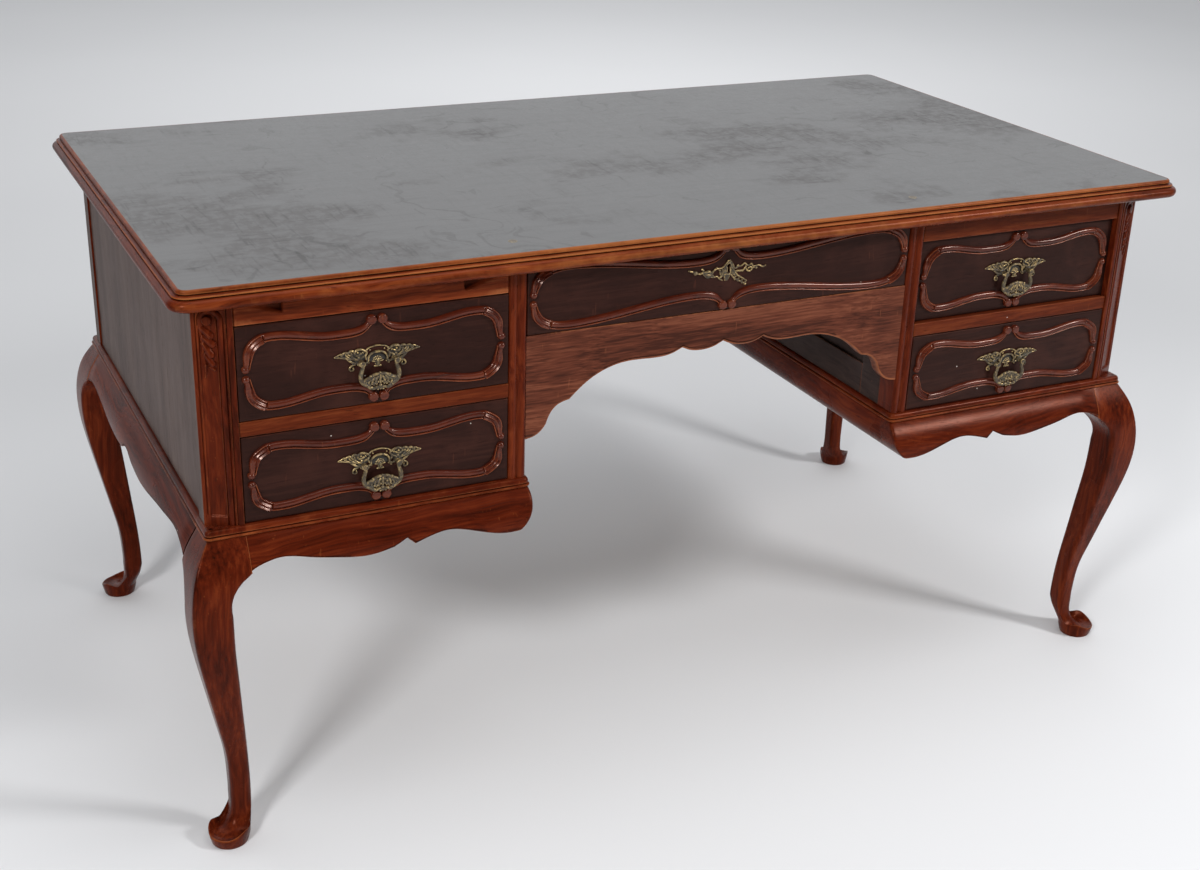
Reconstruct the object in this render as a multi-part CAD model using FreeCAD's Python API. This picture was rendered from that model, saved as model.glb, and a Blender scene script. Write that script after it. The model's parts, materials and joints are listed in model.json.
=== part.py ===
import FreeCAD, Part
import math
import os

from FreeCAD import Vector

# A captain's desk: two pedestals of two drawers each and a centre drawer over a shaped kneehole, on four
# cabriole legs.  Millimetres.  +X runs along the desk's length, -Y is its front, +Z is up, and the origin is on
# the floor under the middle of the top.

# ---- overall ----
TOP_LENGTH = 1500.0
TOP_DEPTH = 826.0
DESK_HEIGHT = 780.0
SIDE_OVERHANG = 34.0          # from the outer faces of the case to the outermost line of the top
FRONT_OVERHANG = 41.0         # the same at the front and the back
KNEEHOLE_WIDTH = 586.0        # between the pedestals

# ---- top ----
TOP_THICKNESS = 25.0
SURFACE_THICKNESS = 2.0
EDGE_REACH = 15.5             # from the writing surface's edge to the moulding's outermost line
SURFACE_CORNER = 10.0         # corner radius of the writing surface
MOULDING_WIDTH = 60.0
THUMB_RADIUS = 4.0            # the moulding, from the surface down: thumb, quirk, band, quirk and nose
EDGE_QUIRK = 1.2
BAND_REACH = 9.0
NOSE_DROP = 10.6              # from the surface to the upper line of the nose
PLUG_DIAMETER = 12.0
PLUG_LENGTH = 12.0
PLUG_FROM_FRONT = 63.0        # from the moulding's outermost line

# ---- heights of the bays, from the underside of the top down ----
SLIDE_BAY = 36.5
UPPER_BAY = 123.0
MID_RAIL = 19.5
LOWER_BAY = 116.0
CENTRE_BAY = 98.0
BASE_MOULDING = 14.0
APRON_DROP = 53.0             # lowest point of an apron under its base moulding
SCALLOP_RISE = 24.0           # highest point of an apron's scalloped edge above its lowest
KNEEHOLE_DROP = 145.0         # from the centre drawer's floor to the lowest ends of the kneehole apron

# ---- case members ----
OUTER_POST = 46.0             # side of an outer post
CANT_ON_FRONT = 37.0          # the cut-off corner, measured along the front or back face
CANT_ON_SIDE = 18.0           # and along the side face
CANT_FIELD_WIDTH = 24.0       # the hollow field sunk in the cant, between two grooves
CANT_FIELD_DEPTH = 2.0
FLUTE_RADIUS = 1.4
FLUTE_FROM_SIDE = 5.0         # from the cant's edge at the side face
FLUTE_FROM_FRONT = 7.4        # from the cant's edge at the front face
FLUTE_STOP_LOW = 12.0         # plain wood left under and over the flutes
FLUTE_STOP_HIGH = 8.0
INNER_POST_WIDTH = 24.0
INNER_POST_DEPTH = 38.0
INNER_POST_ROUND = 3.0
INNER_GROOVE_RADIUS = 2.1
PANEL_THICKNESS = 12.0
PANEL_RECESS = 3.0
FRAME_THICKNESS = 18.0
FRAME_MEMBER = 48.0
FRAME_PANEL_THICKNESS = 8.0
RAIL_DEPTH = 40.0
BOARD_THICKNESS = 12.0
BOTTOM_THICKNESS = 18.0
APRON_BACKING = 20.0          # from the case's face back to an apron's flat back
BASE_REACH = 6.5              # how far the base moulding stands out of the case
BASE_TOP_REACH = 0.8
BASE_OVOLO = 6.5              # height of the base moulding's upper round
BASE_QUIRK = 1.1
BASE_BEAD_RADIUS = 1.8
APRON_REACH = 24.0            # how far a swelling apron stands out of the case
APRON_TOP_REACH = 3.5
INNER_APRON_REACH = 4.5
INNER_APRON_UNDERCUT = 16.0
RUNNER_HEIGHT = 9.0
RUNNER_WIDTH = 15.0
CENTRE_RUNNER_WIDTH = 23.0
CENTRE_RUNNER_HEIGHT = 16.0

# ---- legs ----
KNEE_REACH = 33.0             # the knee's outer faces stand this far out of the case
KNEE_SIDE = 51.0
ANKLE_SET = 8.0               # the ankle's outer faces lie this far inside the case's faces
ANKLE_SIDE = 28.0
FOOT_RADIUS = 28.0
FOOT_UNDERCUT = 2.5
FOOT_RIM = 17.0
FOOT_OFFSET = 1.0             # the foot's middle lies this far inside the case's faces
DISH_RADIUS = 27.0
DISH_FLOOR = 12.0
DISH_SHIFT = 2.0              # towards the desk's corner, from the foot's middle
TOE_HEIGHT = 90.0             # below this the leg's outer sides are rounded to the foot

# ---- drawers ----
FRONT_THICKNESS = 20.0
FRONT_SET_BACK = 2.0
LOOSE_DRAWER_SET_BACK = 8.0   # the upper right drawer stands this much deeper
FRONT_GAP = 1.0
BOX_GAP = 2.0
RUNNING_GAP = 0.3
BOX_WALL = 10.0
BOX_BOTTOM = 6.0
BOX_BOTTOM_UP = 7.0
BOX_DEPTH = 600.0
UPPER_BOX_HEIGHT = 100.0
LOWER_BOX_HEIGHT = 98.0
CENTRE_BOX_HEIGHT = 64.0
SLIDE_LEAF = 22.0
SLIDE_DEPTH = 600.0
SCOOP_LENGTH = 62.0
SCOOP_HEIGHT = 17.0
SCOOP_DEPTH = 5.0
SLIDE_TOP_GAP = 0.5
SLIDE_RUNNER_SET_BACK = 3.0   # behind the slide's front strip

# ---- applied mouldings and fittings ----
STRIP_RADIUS = 5.0
BALL_RADIUS = 6.2
BALL_SPACING = 1.2            # between the two knobs of neighbouring strips
STRIP_SHOULDER = 30.0         # where a strip turns down at the front's corner
STRIP_SIDE_MARGIN = 13.0      # from the opening's side to the strips' outermost knobs
STRIP_TOP_MARGIN = 11.0
STRIP_DIP = 12.0
CENTRE_STRIP_SIDE_MARGIN = 11.0
CENTRE_STRIP_TOP_MARGIN = 12.0
CENTRE_STRIP_DIP = 15.0
PLATE_WIDTH = 110.0
PLATE_HEIGHT = 34.0
PLATE_THICKNESS = 2.5
PIVOT_SPAN = 45.0
PIVOT_DROP = 3.0              # the pivots lie this far under the middle of the drawer front
PIVOT_STANDOFF = 9.5
POST_RADIUS = 4.5
PIN_RADIUS = 1.5
PIN_CLEARANCE = 0.05
BAIL_RADIUS = 2.8
BAIL_DROP = 34.0
BAIL_SIDE_GAP = 0.7
BAIL_FLARE = 1.5
ESCUTCHEON_WIDTH = 122.0
ESCUTCHEON_HEIGHT = 40.0
ESCUTCHEON_THICKNESS = 2.0
KEYHOLE_RADIUS = 3.0
KEYHOLE_DROP = 10.0
KEYHOLE_UP = 14.0             # above the middle of the centre drawer's front
LOCK_WIDTH = 64.0
LOCK_HEIGHT = 46.0
LOCK_THICKNESS = 12.0

# ---- levels and half sizes that follow ----
TOP_UNDER = DESK_HEIGHT - TOP_THICKNESS
BOARD_TOP = DESK_HEIGHT - SURFACE_THICKNESS
UPPER_TOP = TOP_UNDER - SLIDE_BAY
UPPER_FLOOR = UPPER_TOP - UPPER_BAY
LOWER_TOP = UPPER_FLOOR - MID_RAIL
BASE_TOP = LOWER_TOP - LOWER_BAY
BASE_UNDER = BASE_TOP - BASE_MOULDING
CENTRE_FLOOR = TOP_UNDER - CENTRE_BAY
HALF_LENGTH = TOP_LENGTH / 2 - SIDE_OVERHANG      # to the faces of the outer posts
HALF_DEPTH = TOP_DEPTH / 2 - FRONT_OVERHANG
HALF_KNEEHOLE = KNEEHOLE_WIDTH / 2
BAY_INNER = HALF_KNEEHOLE + INNER_POST_WIDTH      # where a pedestal's drawer opening begins
BAY_OUTER = HALF_LENGTH - OUTER_POST              # and where it ends
BAY_MIDDLE = (BAY_INNER + BAY_OUTER) / 2
POST_INNER_Y = HALF_DEPTH - OUTER_POST
APRON_BACK = HALF_DEPTH - APRON_BACKING
EDGE_LENGTH = TOP_LENGTH / 2 - EDGE_REACH         # half length of the writing surface
EDGE_DEPTH = TOP_DEPTH / 2 - EDGE_REACH
FACE_Y = -HALF_DEPTH + FRONT_SET_BACK             # the drawer fronts' face
BACK_FACE_Y = HALF_DEPTH - PANEL_RECESS

UP = Vector(0, 0, 1)
ORIGIN = Vector(0, 0, 0)
HALFWAY = math.sqrt(0.5)                          # sine of 45 degrees
CUT_MARGIN = 5.0                                  # how far cutting shapes run past what they cut
RIGHT, LEFT = 1, -1
FRONT, BACK = -1, 1


def block(x_pair, y_pair, z_pair):
    """A box between two values on each axis, given in any order."""
    low = [min(pair) for pair in (x_pair, y_pair, z_pair)]
    high = [max(pair) for pair in (x_pair, y_pair, z_pair)]
    return Part.makeBox(high[0] - low[0], high[1] - low[1], high[2] - low[2], Vector(*low))


def line(first, second):
    return Part.LineSegment(first, second).toShape()


def arc(first, middle, last):
    return Part.Arc(first, middle, last).toShape()


def quarter(first, last):
    """A quarter round that leaves its first point level and comes down upright to its last."""
    middle = Vector(first.x + (last.x - first.x) * HALFWAY, 0, first.z + (last.z - first.z) * (1 - HALFWAY))
    return arc(first, middle, last)


def curve(points):
    """One smooth edge through a few points."""
    spline = Part.BSplineCurve()
    spline.interpolate(points)
    return spline.toShape()


def extruded(edges, direction):
    """The solid swept by the closed outline of these edges along a vector."""
    return Part.Face(Part.Wire(Part.__sortEdges__(edges))).extrude(direction)


def polygon(points):
    return [line(points[i - 1], points[i]) for i in range(len(points))]


def flipped(shape, side, axis=Vector(1, 0, 0)):
    """The shape itself for +1, and its mirror image across the middle plane for -1."""
    return shape.copy() if side > 0 else shape.mirror(ORIGIN, axis)


def save(name, *solids):
    shape = solids[0] if len(solids) == 1 else Part.makeCompound(list(solids))
    shape.exportStep("parts/%s.step" % name)


# ---- top ----

def edge_profile(reach_in):
    """Outline of the top moulding as (reach outward from the surface's edge, height) edges in the XZ plane."""
    def at(reach, down):
        return Vector(reach, 0, DESK_HEIGHT - down)
    thumb_end = at(THUMB_RADIUS, THUMB_RADIUS)
    band_start = at(THUMB_RADIUS, THUMB_RADIUS + 2 * EDGE_QUIRK)
    band_end = at(BAND_REACH, NOSE_DROP - 2 * EDGE_QUIRK)
    quirk = at(THUMB_RADIUS - EDGE_QUIRK, THUMB_RADIUS + EDGE_QUIRK)
    nose = (TOP_THICKNESS - NOSE_DROP) / 2
    nose_top = at(EDGE_REACH - nose, NOSE_DROP)
    nose_low = at(EDGE_REACH - nose, TOP_THICKNESS)
    return [
        line(at(reach_in, TOP_THICKNESS), at(reach_in, SURFACE_THICKNESS)),
        line(at(reach_in, SURFACE_THICKNESS), at(0, SURFACE_THICKNESS)),
        line(at(0, SURFACE_THICKNESS), at(0, 0)),
        quarter(at(0, 0), thumb_end),
        line(thumb_end, quirk),
        line(quirk, band_start),
        quarter(band_start, band_end),
        line(band_end, nose_top),
        arc(nose_top, at(EDGE_REACH, NOSE_DROP + nose), nose_low),
        line(nose_low, at(reach_in, TOP_THICKNESS)),
    ]


def moulding_ring():
    """The whole moulding round the top, before it is cut into four mitred lengths."""
    inner = -(MOULDING_WIDTH - EDGE_REACH)
    straight_x = EDGE_LENGTH - SURFACE_CORNER
    straight_y = EDGE_DEPTH - SURFACE_CORNER
    face = Part.Face(Part.Wire(Part.__sortEdges__(edge_profile(-SURFACE_CORNER))))
    side = face.translated(Vector(EDGE_LENGTH, -straight_y, 0)).extrude(Vector(0, 2 * straight_y, 0))
    end = face.rotated(ORIGIN, UP, 90).translated(Vector(straight_x, EDGE_DEPTH, 0))
    end = end.extrude(Vector(-2 * straight_x, 0, 0))
    corner = face.translated(Vector(EDGE_LENGTH, straight_y, 0))
    corner = corner.revolve(Vector(straight_x, straight_y, 0), UP, 90)
    pieces = [side, side.mirror(ORIGIN, Vector(1, 0, 0)), end, end.mirror(ORIGIN, Vector(0, 1, 0))]
    for sx in (RIGHT, LEFT):
        for sy in (FRONT, BACK):
            pieces.append(flipped(flipped(corner, sx), sy, Vector(0, 1, 0)))
    ring = block((-straight_x, straight_x), (-straight_y, straight_y), (TOP_UNDER, BOARD_TOP))
    ring = ring.multiFuse(pieces)
    opening = block((-EDGE_LENGTH - inner, EDGE_LENGTH + inner), (-EDGE_DEPTH - inner, EDGE_DEPTH + inner),
                    (TOP_UNDER - CUT_MARGIN, DESK_HEIGHT + CUT_MARGIN))
    return ring.cut(opening)


def mitre_wedges():
    """Four upright wedges that meet on the 45 degree lines through the top's corners."""
    spine = (TOP_LENGTH - TOP_DEPTH) / 2
    reach = TOP_DEPTH / 2 + CUT_MARGIN
    below = TOP_UNDER - CUT_MARGIN
    height = Vector(0, 0, TOP_THICKNESS + 2 * CUT_MARGIN)
    wedges = []
    for side in (RIGHT, LEFT):
        tip = Vector(side * spine, 0, below)
        far = [Vector(side * (spine + reach), s * reach, below) for s in (FRONT, BACK)]
        wedges.append(extruded(polygon([tip] + far), height))
    for side in (FRONT, BACK):
        near = [Vector(s * spine, 0, below) for s in (LEFT, RIGHT)]
        far = [Vector(s * (spine + reach), side * reach, below) for s in (RIGHT, LEFT)]
        wedges.append(extruded(polygon(near + far), height))
    return wedges


def plug_places():
    return [Vector(s * (HALF_KNEEHOLE + INNER_POST_WIDTH / 2), -TOP_DEPTH / 2 + PLUG_FROM_FRONT,
                   DESK_HEIGHT - PLUG_LENGTH) for s in (LEFT, RIGHT)]


def make_top():
    plugs = [Part.makeCylinder(PLUG_DIAMETER / 2, PLUG_LENGTH, place) for place in plug_places()]
    ring = moulding_ring().cut(Part.makeCompound(plugs))
    save("top_moulding", *[ring.common(wedge) for wedge in mitre_wedges()])
    core_x = EDGE_LENGTH - MOULDING_WIDTH + EDGE_REACH
    core_y = EDGE_DEPTH - MOULDING_WIDTH + EDGE_REACH
    board = block((-core_x, core_x), (-core_y, core_y), (TOP_UNDER, BOARD_TOP))
    save("top_board", board.cut(Part.makeCompound(plugs)))
    sheet = block((-EDGE_LENGTH, EDGE_LENGTH), (-EDGE_DEPTH, EDGE_DEPTH), (BOARD_TOP, DESK_HEIGHT))
    upright = [e for e in sheet.Edges if abs(e.Vertexes[0].Z - e.Vertexes[-1].Z) > SURFACE_THICKNESS / 2]
    sheet = sheet.makeFillet(SURFACE_CORNER, upright)
    save("writing_surface", sheet.cut(Part.makeCompound(plugs)))
    save("top_plugs", *plugs)


# ---- posts and legs ----

def base_outline():
    """Base moulding as (reach out of the case, height) edges, closed back inside the post."""
    def at(reach, down):
        return Vector(reach, 0, BASE_TOP - down)
    bead_reach = BASE_REACH - BASE_BEAD_RADIUS
    bead_top = BASE_OVOLO + 2 * BASE_QUIRK
    bead_low = bead_top + 2 * BASE_BEAD_RADIUS
    corners = [at(bead_reach, bead_low), at(APRON_TOP_REACH, BASE_MOULDING), at(-APRON_BACKING, BASE_MOULDING),
               at(-APRON_BACKING, 0), at(BASE_TOP_REACH, 0)]
    return [line(corners[i], corners[i + 1]) for i in range(len(corners) - 1)] + [
        quarter(at(BASE_TOP_REACH, 0), at(bead_reach, BASE_OVOLO)),
        line(at(bead_reach, BASE_OVOLO), at(bead_reach - BASE_QUIRK, BASE_OVOLO + BASE_QUIRK)),
        line(at(bead_reach - BASE_QUIRK, BASE_OVOLO + BASE_QUIRK), at(bead_reach, bead_top)),
        arc(at(bead_reach, bead_top), at(BASE_REACH, (bead_top + bead_low) / 2), at(bead_reach, bead_low)),
    ]


def run_along_y(outline, x_face, outward, y_pair):
    """An outline's reach is laid along +-X from a face plane and it is run along Y."""
    face = Part.Face(Part.Wire(Part.__sortEdges__(outline)))
    if outward < 0:
        face = face.mirror(ORIGIN, Vector(1, 0, 0))
    face = face.translated(Vector(x_face, min(y_pair), 0))
    return face.extrude(Vector(0, abs(y_pair[1] - y_pair[0]), 0))


def run_along_x(outline, y_face, outward, x_pair):
    face = Part.Face(Part.Wire(Part.__sortEdges__(outline))).rotated(ORIGIN, UP, 90 * outward)
    face = face.translated(Vector(min(x_pair), y_face, 0))
    return face.extrude(Vector(abs(x_pair[1] - x_pair[0]), 0, 0))


def leg_profile():
    """The shape a leg is sawn to on each of its two outer sides: (reach out of the case, height)."""
    height = BASE_UNDER
    swing = KNEE_REACH + ANKLE_SET

    def outer(height_share, reach_share):
        return Vector(-ANKLE_SET + reach_share * swing, 0, height_share * height)
    toe = FOOT_RADIUS - FOOT_OFFSET
    outer_points = [Vector(APRON_TOP_REACH, 0, height), outer(0.94, 0.67), outer(0.875, 0.90), outer(0.80, 1.0),
                    outer(0.715, 0.97), outer(0.615, 0.80), outer(0.48, 0.50), outer(0.36, 0.23),
                    outer(0.27, 0.05), outer(0.19, 0.0), outer(0.115, 0.02), outer(0.07, 0.17),
                    outer(0.05, 0.36), Vector(toe, 0, FOOT_RIM)]
    knee_back = KNEE_REACH - KNEE_SIDE
    ankle_back = -ANKLE_SET - ANKLE_SIDE
    drop = knee_back - ankle_back

    def inner(height_share, drop_share):
        return Vector(knee_back - drop_share * drop, 0, height_share * height)
    ear_top = Vector(-OUTER_POST, 0, 0.905 * height)
    inner_points = [inner(0.785, 0.0), inner(0.68, 0.07), inner(0.545, 0.34), inner(0.41, 0.62),
                    inner(0.29, 0.87), inner(0.18, 1.0), inner(0.11, 0.98), inner(0.0, 0.62)]
    corner = Vector(toe, 0, 0)
    return [
        curve(outer_points),
        line(Vector(toe, 0, FOOT_RIM), corner),
        line(corner, inner_points[-1]),
        curve(inner_points),
        curve([inner_points[0], inner(0.82, -0.02), inner(0.86, 0.35), ear_top]),
        line(ear_top, Vector(-OUTER_POST, 0, height)),
        line(Vector(-OUTER_POST, 0, height), outer_points[0]),
    ]


def make_leg(corner_x, corner_y):
    """The leg under the case's right front corner, mirrored afterwards to its own corner."""
    deep = 4 * OUTER_POST
    sawn = run_along_y(leg_profile(), 0, 1, (-deep, deep))
    leg = sawn.common(run_along_x(leg_profile(), 0, -1, (-deep, deep)))
    middle = Vector(-FOOT_OFFSET, FOOT_OFFSET, 0)
    cone = Part.makeCone(FOOT_RADIUS - FOOT_UNDERCUT, FOOT_RADIUS, FOOT_RIM, middle)
    collar = Part.makeCylinder(FOOT_RADIUS, BASE_UNDER, middle + Vector(0, 0, FOOT_RIM))
    inner_part = block((-deep, -FOOT_OFFSET), (FOOT_OFFSET, deep), (0, BASE_UNDER))
    above = block((-deep, deep), (-deep, deep), (TOE_HEIGHT, BASE_UNDER))
    leg = leg.common(cone.fuse([collar, inner_part, above]))
    dish = Part.makeSphere(DISH_RADIUS, middle + Vector(DISH_SHIFT, -DISH_SHIFT, DISH_FLOOR + DISH_RADIUS))
    dish_reach = FOOT_OFFSET + 2 * DISH_SHIFT
    leg = leg.cut(dish.common(block((-dish_reach, deep), (-deep, dish_reach), (0, BASE_UNDER))))
    run_x = (-OUTER_POST, BASE_REACH)
    run_y = (-BASE_REACH, OUTER_POST)
    cap = run_along_y(base_outline(), 0, 1, run_y)
    cap = cap.fuse(block((-OUTER_POST, -APRON_BACKING), run_y, (BASE_UNDER, BASE_TOP)))
    turn = run_along_x(base_outline(), 0, -1, run_x)
    turn = turn.fuse(block(run_x, (APRON_BACKING, OUTER_POST), (BASE_UNDER, BASE_TOP)))
    leg = leg.fuse(cap.common(turn)).removeSplitter()
    leg = leg.translated(Vector(HALF_LENGTH, -HALF_DEPTH, 0))
    return flipped(flipped(leg, corner_x), -corner_y, Vector(0, 1, 0))


def make_outer_post(corner_x, corner_y):
    """A square post with its outer corner cut off, a sunk field on the cant and grooves beside it."""
    post = block((0, -OUTER_POST), (0, OUTER_POST), (BASE_TOP, TOP_UNDER))
    along = Vector(CANT_ON_FRONT, CANT_ON_SIDE, 0)
    cant_width = along.Length
    along.normalize()
    outward = Vector(along.y, -along.x, 0)
    low = BASE_TOP - CUT_MARGIN
    first = Vector(-CANT_ON_FRONT, 0, low) - along * CUT_MARGIN
    last = Vector(0, CANT_ON_SIDE, low) + along * CUT_MARGIN
    wedge = polygon([first, Vector(last.x, first.y, low), last])
    cuts = [extruded(wedge, Vector(0, 0, TOP_UNDER - BASE_TOP + 2 * CUT_MARGIN))]
    foot = BASE_TOP + FLUTE_STOP_LOW
    length = TOP_UNDER - FLUTE_STOP_HIGH - foot
    front_edge = Vector(-CANT_ON_FRONT, 0, foot)
    for away in (FLUTE_FROM_FRONT, cant_width - FLUTE_FROM_SIDE):
        cuts.append(Part.makeCylinder(FLUTE_RADIUS, length, front_edge + along * away))
    radius = (CANT_FIELD_WIDTH ** 2 / 4 + CANT_FIELD_DEPTH ** 2) / (2 * CANT_FIELD_DEPTH)
    middle = front_edge + along * (cant_width / 2)
    cuts.append(Part.makeCylinder(radius, length, middle + outward * (radius - CANT_FIELD_DEPTH)))
    post = post.cut(cuts).translated(Vector(HALF_LENGTH, -HALF_DEPTH, 0))
    return flipped(flipped(post, corner_x), -corner_y, Vector(0, 1, 0))


def make_inner_post(side, face):
    """A post beside the kneehole, with two reeds parted by a groove."""
    y_face = face * HALF_DEPTH
    post = block((HALF_KNEEHOLE, BAY_INNER), (y_face, y_face - face * INNER_POST_DEPTH), (BASE_TOP, TOP_UNDER))
    upright = [e for e in post.Edges if e.BoundBox.ZLength > INNER_POST_DEPTH
               and abs(e.Vertexes[0].Y - y_face) < INNER_POST_ROUND]
    post = post.makeFillet(INNER_POST_ROUND, upright)
    groove = Part.makeCylinder(INNER_GROOVE_RADIUS, TOP_UNDER - BASE_TOP,
                               Vector(HALF_KNEEHOLE + INNER_POST_WIDTH / 2, y_face, BASE_TOP))
    return flipped(post.cut(groove), side)


def make_posts_and_legs():
    for side, side_name in ((LEFT, "left"), (RIGHT, "right")):
        for face, face_name in ((FRONT, "front"), (BACK, "back")):
            save("post_%s_%s" % (face_name, side_name), make_outer_post(side, face))
            save("leg_%s_%s" % (face_name, side_name), make_leg(side, face))
    save("inner_posts", *[make_inner_post(s, f) for s in (LEFT, RIGHT) for f in (FRONT, BACK)])


# ---- aprons ----

def swelling_outline(lowest):
    """The bowed section of a front, back or outer side apron: (reach, height)."""
    top = Vector(APRON_TOP_REACH, 0, BASE_UNDER)
    middle = Vector(APRON_REACH * 0.82, 0, BASE_UNDER - APRON_DROP * 0.45)
    toe = Vector(APRON_REACH, 0, lowest)
    back_low = Vector(-APRON_BACKING, 0, lowest)
    back_top = Vector(-APRON_BACKING, 0, BASE_UNDER)
    return [arc(top, middle, toe), line(toe, back_low), line(back_low, back_top), line(back_top, top)]


def tucked_outline(lowest):
    """The section of an apron on the kneehole side, which curls under the pedestal."""
    top = Vector(APRON_TOP_REACH, 0, BASE_UNDER)
    middle = Vector(INNER_APRON_REACH, 0, BASE_UNDER - APRON_DROP * 0.42)
    toe = Vector(-INNER_APRON_UNDERCUT, 0, lowest)
    back_low = Vector(-APRON_BACKING, 0, lowest)
    back_top = Vector(-APRON_BACKING, 0, BASE_UNDER)
    return [arc(top, middle, toe), line(toe, back_low), line(back_low, back_top), line(back_top, top)]


def scallop_cutter(runs, lowest, face_span, along):
    """Everything under a scalloped edge.  runs is a list of smooth stretches, each a list of (place, height)."""
    def at(place, height):
        if along == "x":
            return Vector(place, -face_span, height)
        return Vector(-face_span, place, height)
    edges = [curve([at(*p) for p in run]) if len(run) > 2 else line(at(*run[0]), at(*run[1])) for run in runs]
    first, last = at(*runs[0][0]), at(*runs[-1][-1])
    low_first = at(runs[0][0][0], lowest - CUT_MARGIN)
    low_last = at(runs[-1][-1][0], lowest - CUT_MARGIN)
    edges += [line(last, low_last), line(low_last, low_first), line(low_first, first)]
    direction = Vector(0, 2 * face_span, 0) if along == "x" else Vector(2 * face_span, 0, 0)
    return extruded(edges, direction)


def front_scallop():
    """Lower edge of a pedestal's front or back apron, from the kneehole side to the leg."""
    low = BASE_UNDER - APRON_DROP
    width = BAY_OUTER - HALF_KNEEHOLE

    def at(share, rise_share):
        return (HALF_KNEEHOLE + share * width, low + rise_share * SCALLOP_RISE)
    corner = (HALF_KNEEHOLE - APRON_REACH, low + 0.5 * SCALLOP_RISE)
    inner_run = [corner, at(-0.01, 0.16), at(0.06, 0.04), at(0.15, 0.25), at(0.24, 0.62), at(0.33, 0.85),
                 at(0.39, 0.67), at(0.433, 0.44)]
    notch_in = [at(0.433, 0.44), at(0.47, 0.83)]
    notch_out = [at(0.47, 0.83), at(0.51, 0.46)]
    outer_run = [at(0.51, 0.46), at(0.58, 0.25), at(0.70, 0.42), at(0.81, 0.75), at(0.90, 1.0), at(0.96, 0.83),
                 at(1.0, 0.58), (BAY_OUTER + CUT_MARGIN, low + 0.45 * SCALLOP_RISE)]
    return [inner_run, notch_in, notch_out, outer_run]


def side_scallop():
    """Lower edge of a pedestal's outer side apron, from the front leg to the back leg."""
    low = BASE_UNDER - APRON_DROP

    def at(share, rise_share):
        return (share * POST_INNER_Y, low + rise_share * SCALLOP_RISE)
    first = [at(-1.01, 0.56), at(-0.86, 1.08), at(-0.68, 0.96), at(-0.42, 0.50), at(-0.14, 0.08), at(0.0, 0.29)]
    bump = [at(0.0, 0.29), at(0.06, 0.54), at(0.14, 0.54), at(0.20, 0.17)]
    last = [at(0.20, 0.17), at(0.34, 0.04), at(0.60, 0.42), at(0.82, 0.75), at(0.94, 0.67), at(1.01, 0.40)]
    return [first, bump, last]


def make_aprons(side, side_name):
    low = BASE_UNDER - APRON_DROP
    swell = swelling_outline(low)
    tuck = tucked_outline(low)
    reach = 2 * APRON_REACH
    kneehole_side = run_along_y(tuck, HALF_KNEEHOLE, -1, (-HALF_DEPTH - reach, HALF_DEPTH + reach))
    beyond = block((HALF_KNEEHOLE + APRON_BACKING, BAY_OUTER), (-HALF_DEPTH - reach, HALF_DEPTH + reach),
                   (low - CUT_MARGIN, BASE_TOP + CUT_MARGIN))
    inner_bound = kneehole_side.fuse(beyond)
    strip_side = run_along_y(base_outline(), HALF_KNEEHOLE, -1, (-HALF_DEPTH - reach, HALF_DEPTH + reach))
    strip_bound = strip_side.fuse(beyond)
    for face, face_name in ((FRONT, "front"), (BACK, "back")):
        run = (HALF_KNEEHOLE - reach, BAY_OUTER)
        apron = run_along_x(swell, face * HALF_DEPTH, face, run).common(inner_bound)
        apron = apron.cut(scallop_cutter(front_scallop(), low, HALF_DEPTH + reach, "x"))
        strip = run_along_x(base_outline(), face * HALF_DEPTH, face, run).common(strip_bound)
        save("%s_apron_%s" % (side_name, face_name), flipped(apron, side), flipped(strip, side))
    inner = run_along_y(tuck, HALF_KNEEHOLE, -1, (-APRON_BACK, APRON_BACK))
    strip = run_along_y(base_outline(), HALF_KNEEHOLE, -1, (-APRON_BACK, APRON_BACK))
    save("%s_apron_inner" % side_name, flipped(inner, side), flipped(strip, side))
    outer = run_along_y(swell, HALF_LENGTH, 1, (-POST_INNER_Y, POST_INNER_Y))
    outer = outer.cut(scallop_cutter(side_scallop(), low, HALF_LENGTH + reach, "y"))
    strip = run_along_y(base_outline(), HALF_LENGTH, 1, (-POST_INNER_Y, POST_INNER_Y))
    save("%s_apron_outer" % side_name, flipped(outer, side), flipped(strip, side))


def kneehole_scallop():
    """Lower edge of the kneehole apron from the middle to the right end, down from the centre drawer."""
    def at(share, drop_share):
        return (share * HALF_KNEEHOLE, CENTRE_FLOOR - drop_share * KNEEHOLE_DROP)
    centre = [at(0, 0.31), at(0.05, 0.355), at(0.115, 0.372), at(0.17, 0.359), at(0.215, 0.321)]
    brow = [at(0.215, 0.321), at(0.27, 0.366), at(0.37, 0.383), at(0.50, 0.379), at(0.60, 0.421), at(0.70, 0.524),
            at(0.785, 0.669)]
    knuckle = [at(0.785, 0.669), at(0.84, 0.703), at(0.88, 0.786), at(0.90, 0.883)]
    hanging = [at(0.90, 0.883), at(0.93, 0.952), at(0.97, 0.99), at(1.0, 1.0)]
    return [centre, brow, knuckle, hanging]


def make_kneehole_aprons():
    lowest = CENTRE_FLOOR - KNEEHOLE_DROP
    right = kneehole_scallop()
    left = [[(-x, z) for x, z in reversed(run)] for run in reversed(right)]
    cutter = scallop_cutter(left + right, lowest, HALF_DEPTH + CUT_MARGIN, "x")
    span = (-HALF_KNEEHOLE, HALF_KNEEHOLE)
    front = block(span, (FACE_Y, FACE_Y + FRONT_THICKNESS), (lowest, CENTRE_FLOOR)).cut(cutter)
    back = block(span, (-FACE_Y, -FACE_Y - FRONT_THICKNESS), (lowest, TOP_UNDER)).cut(cutter)
    save("kneehole_apron_front", front)
    save("kneehole_apron_back", back)


# ---- panels, rails, boards and runners ----

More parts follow.
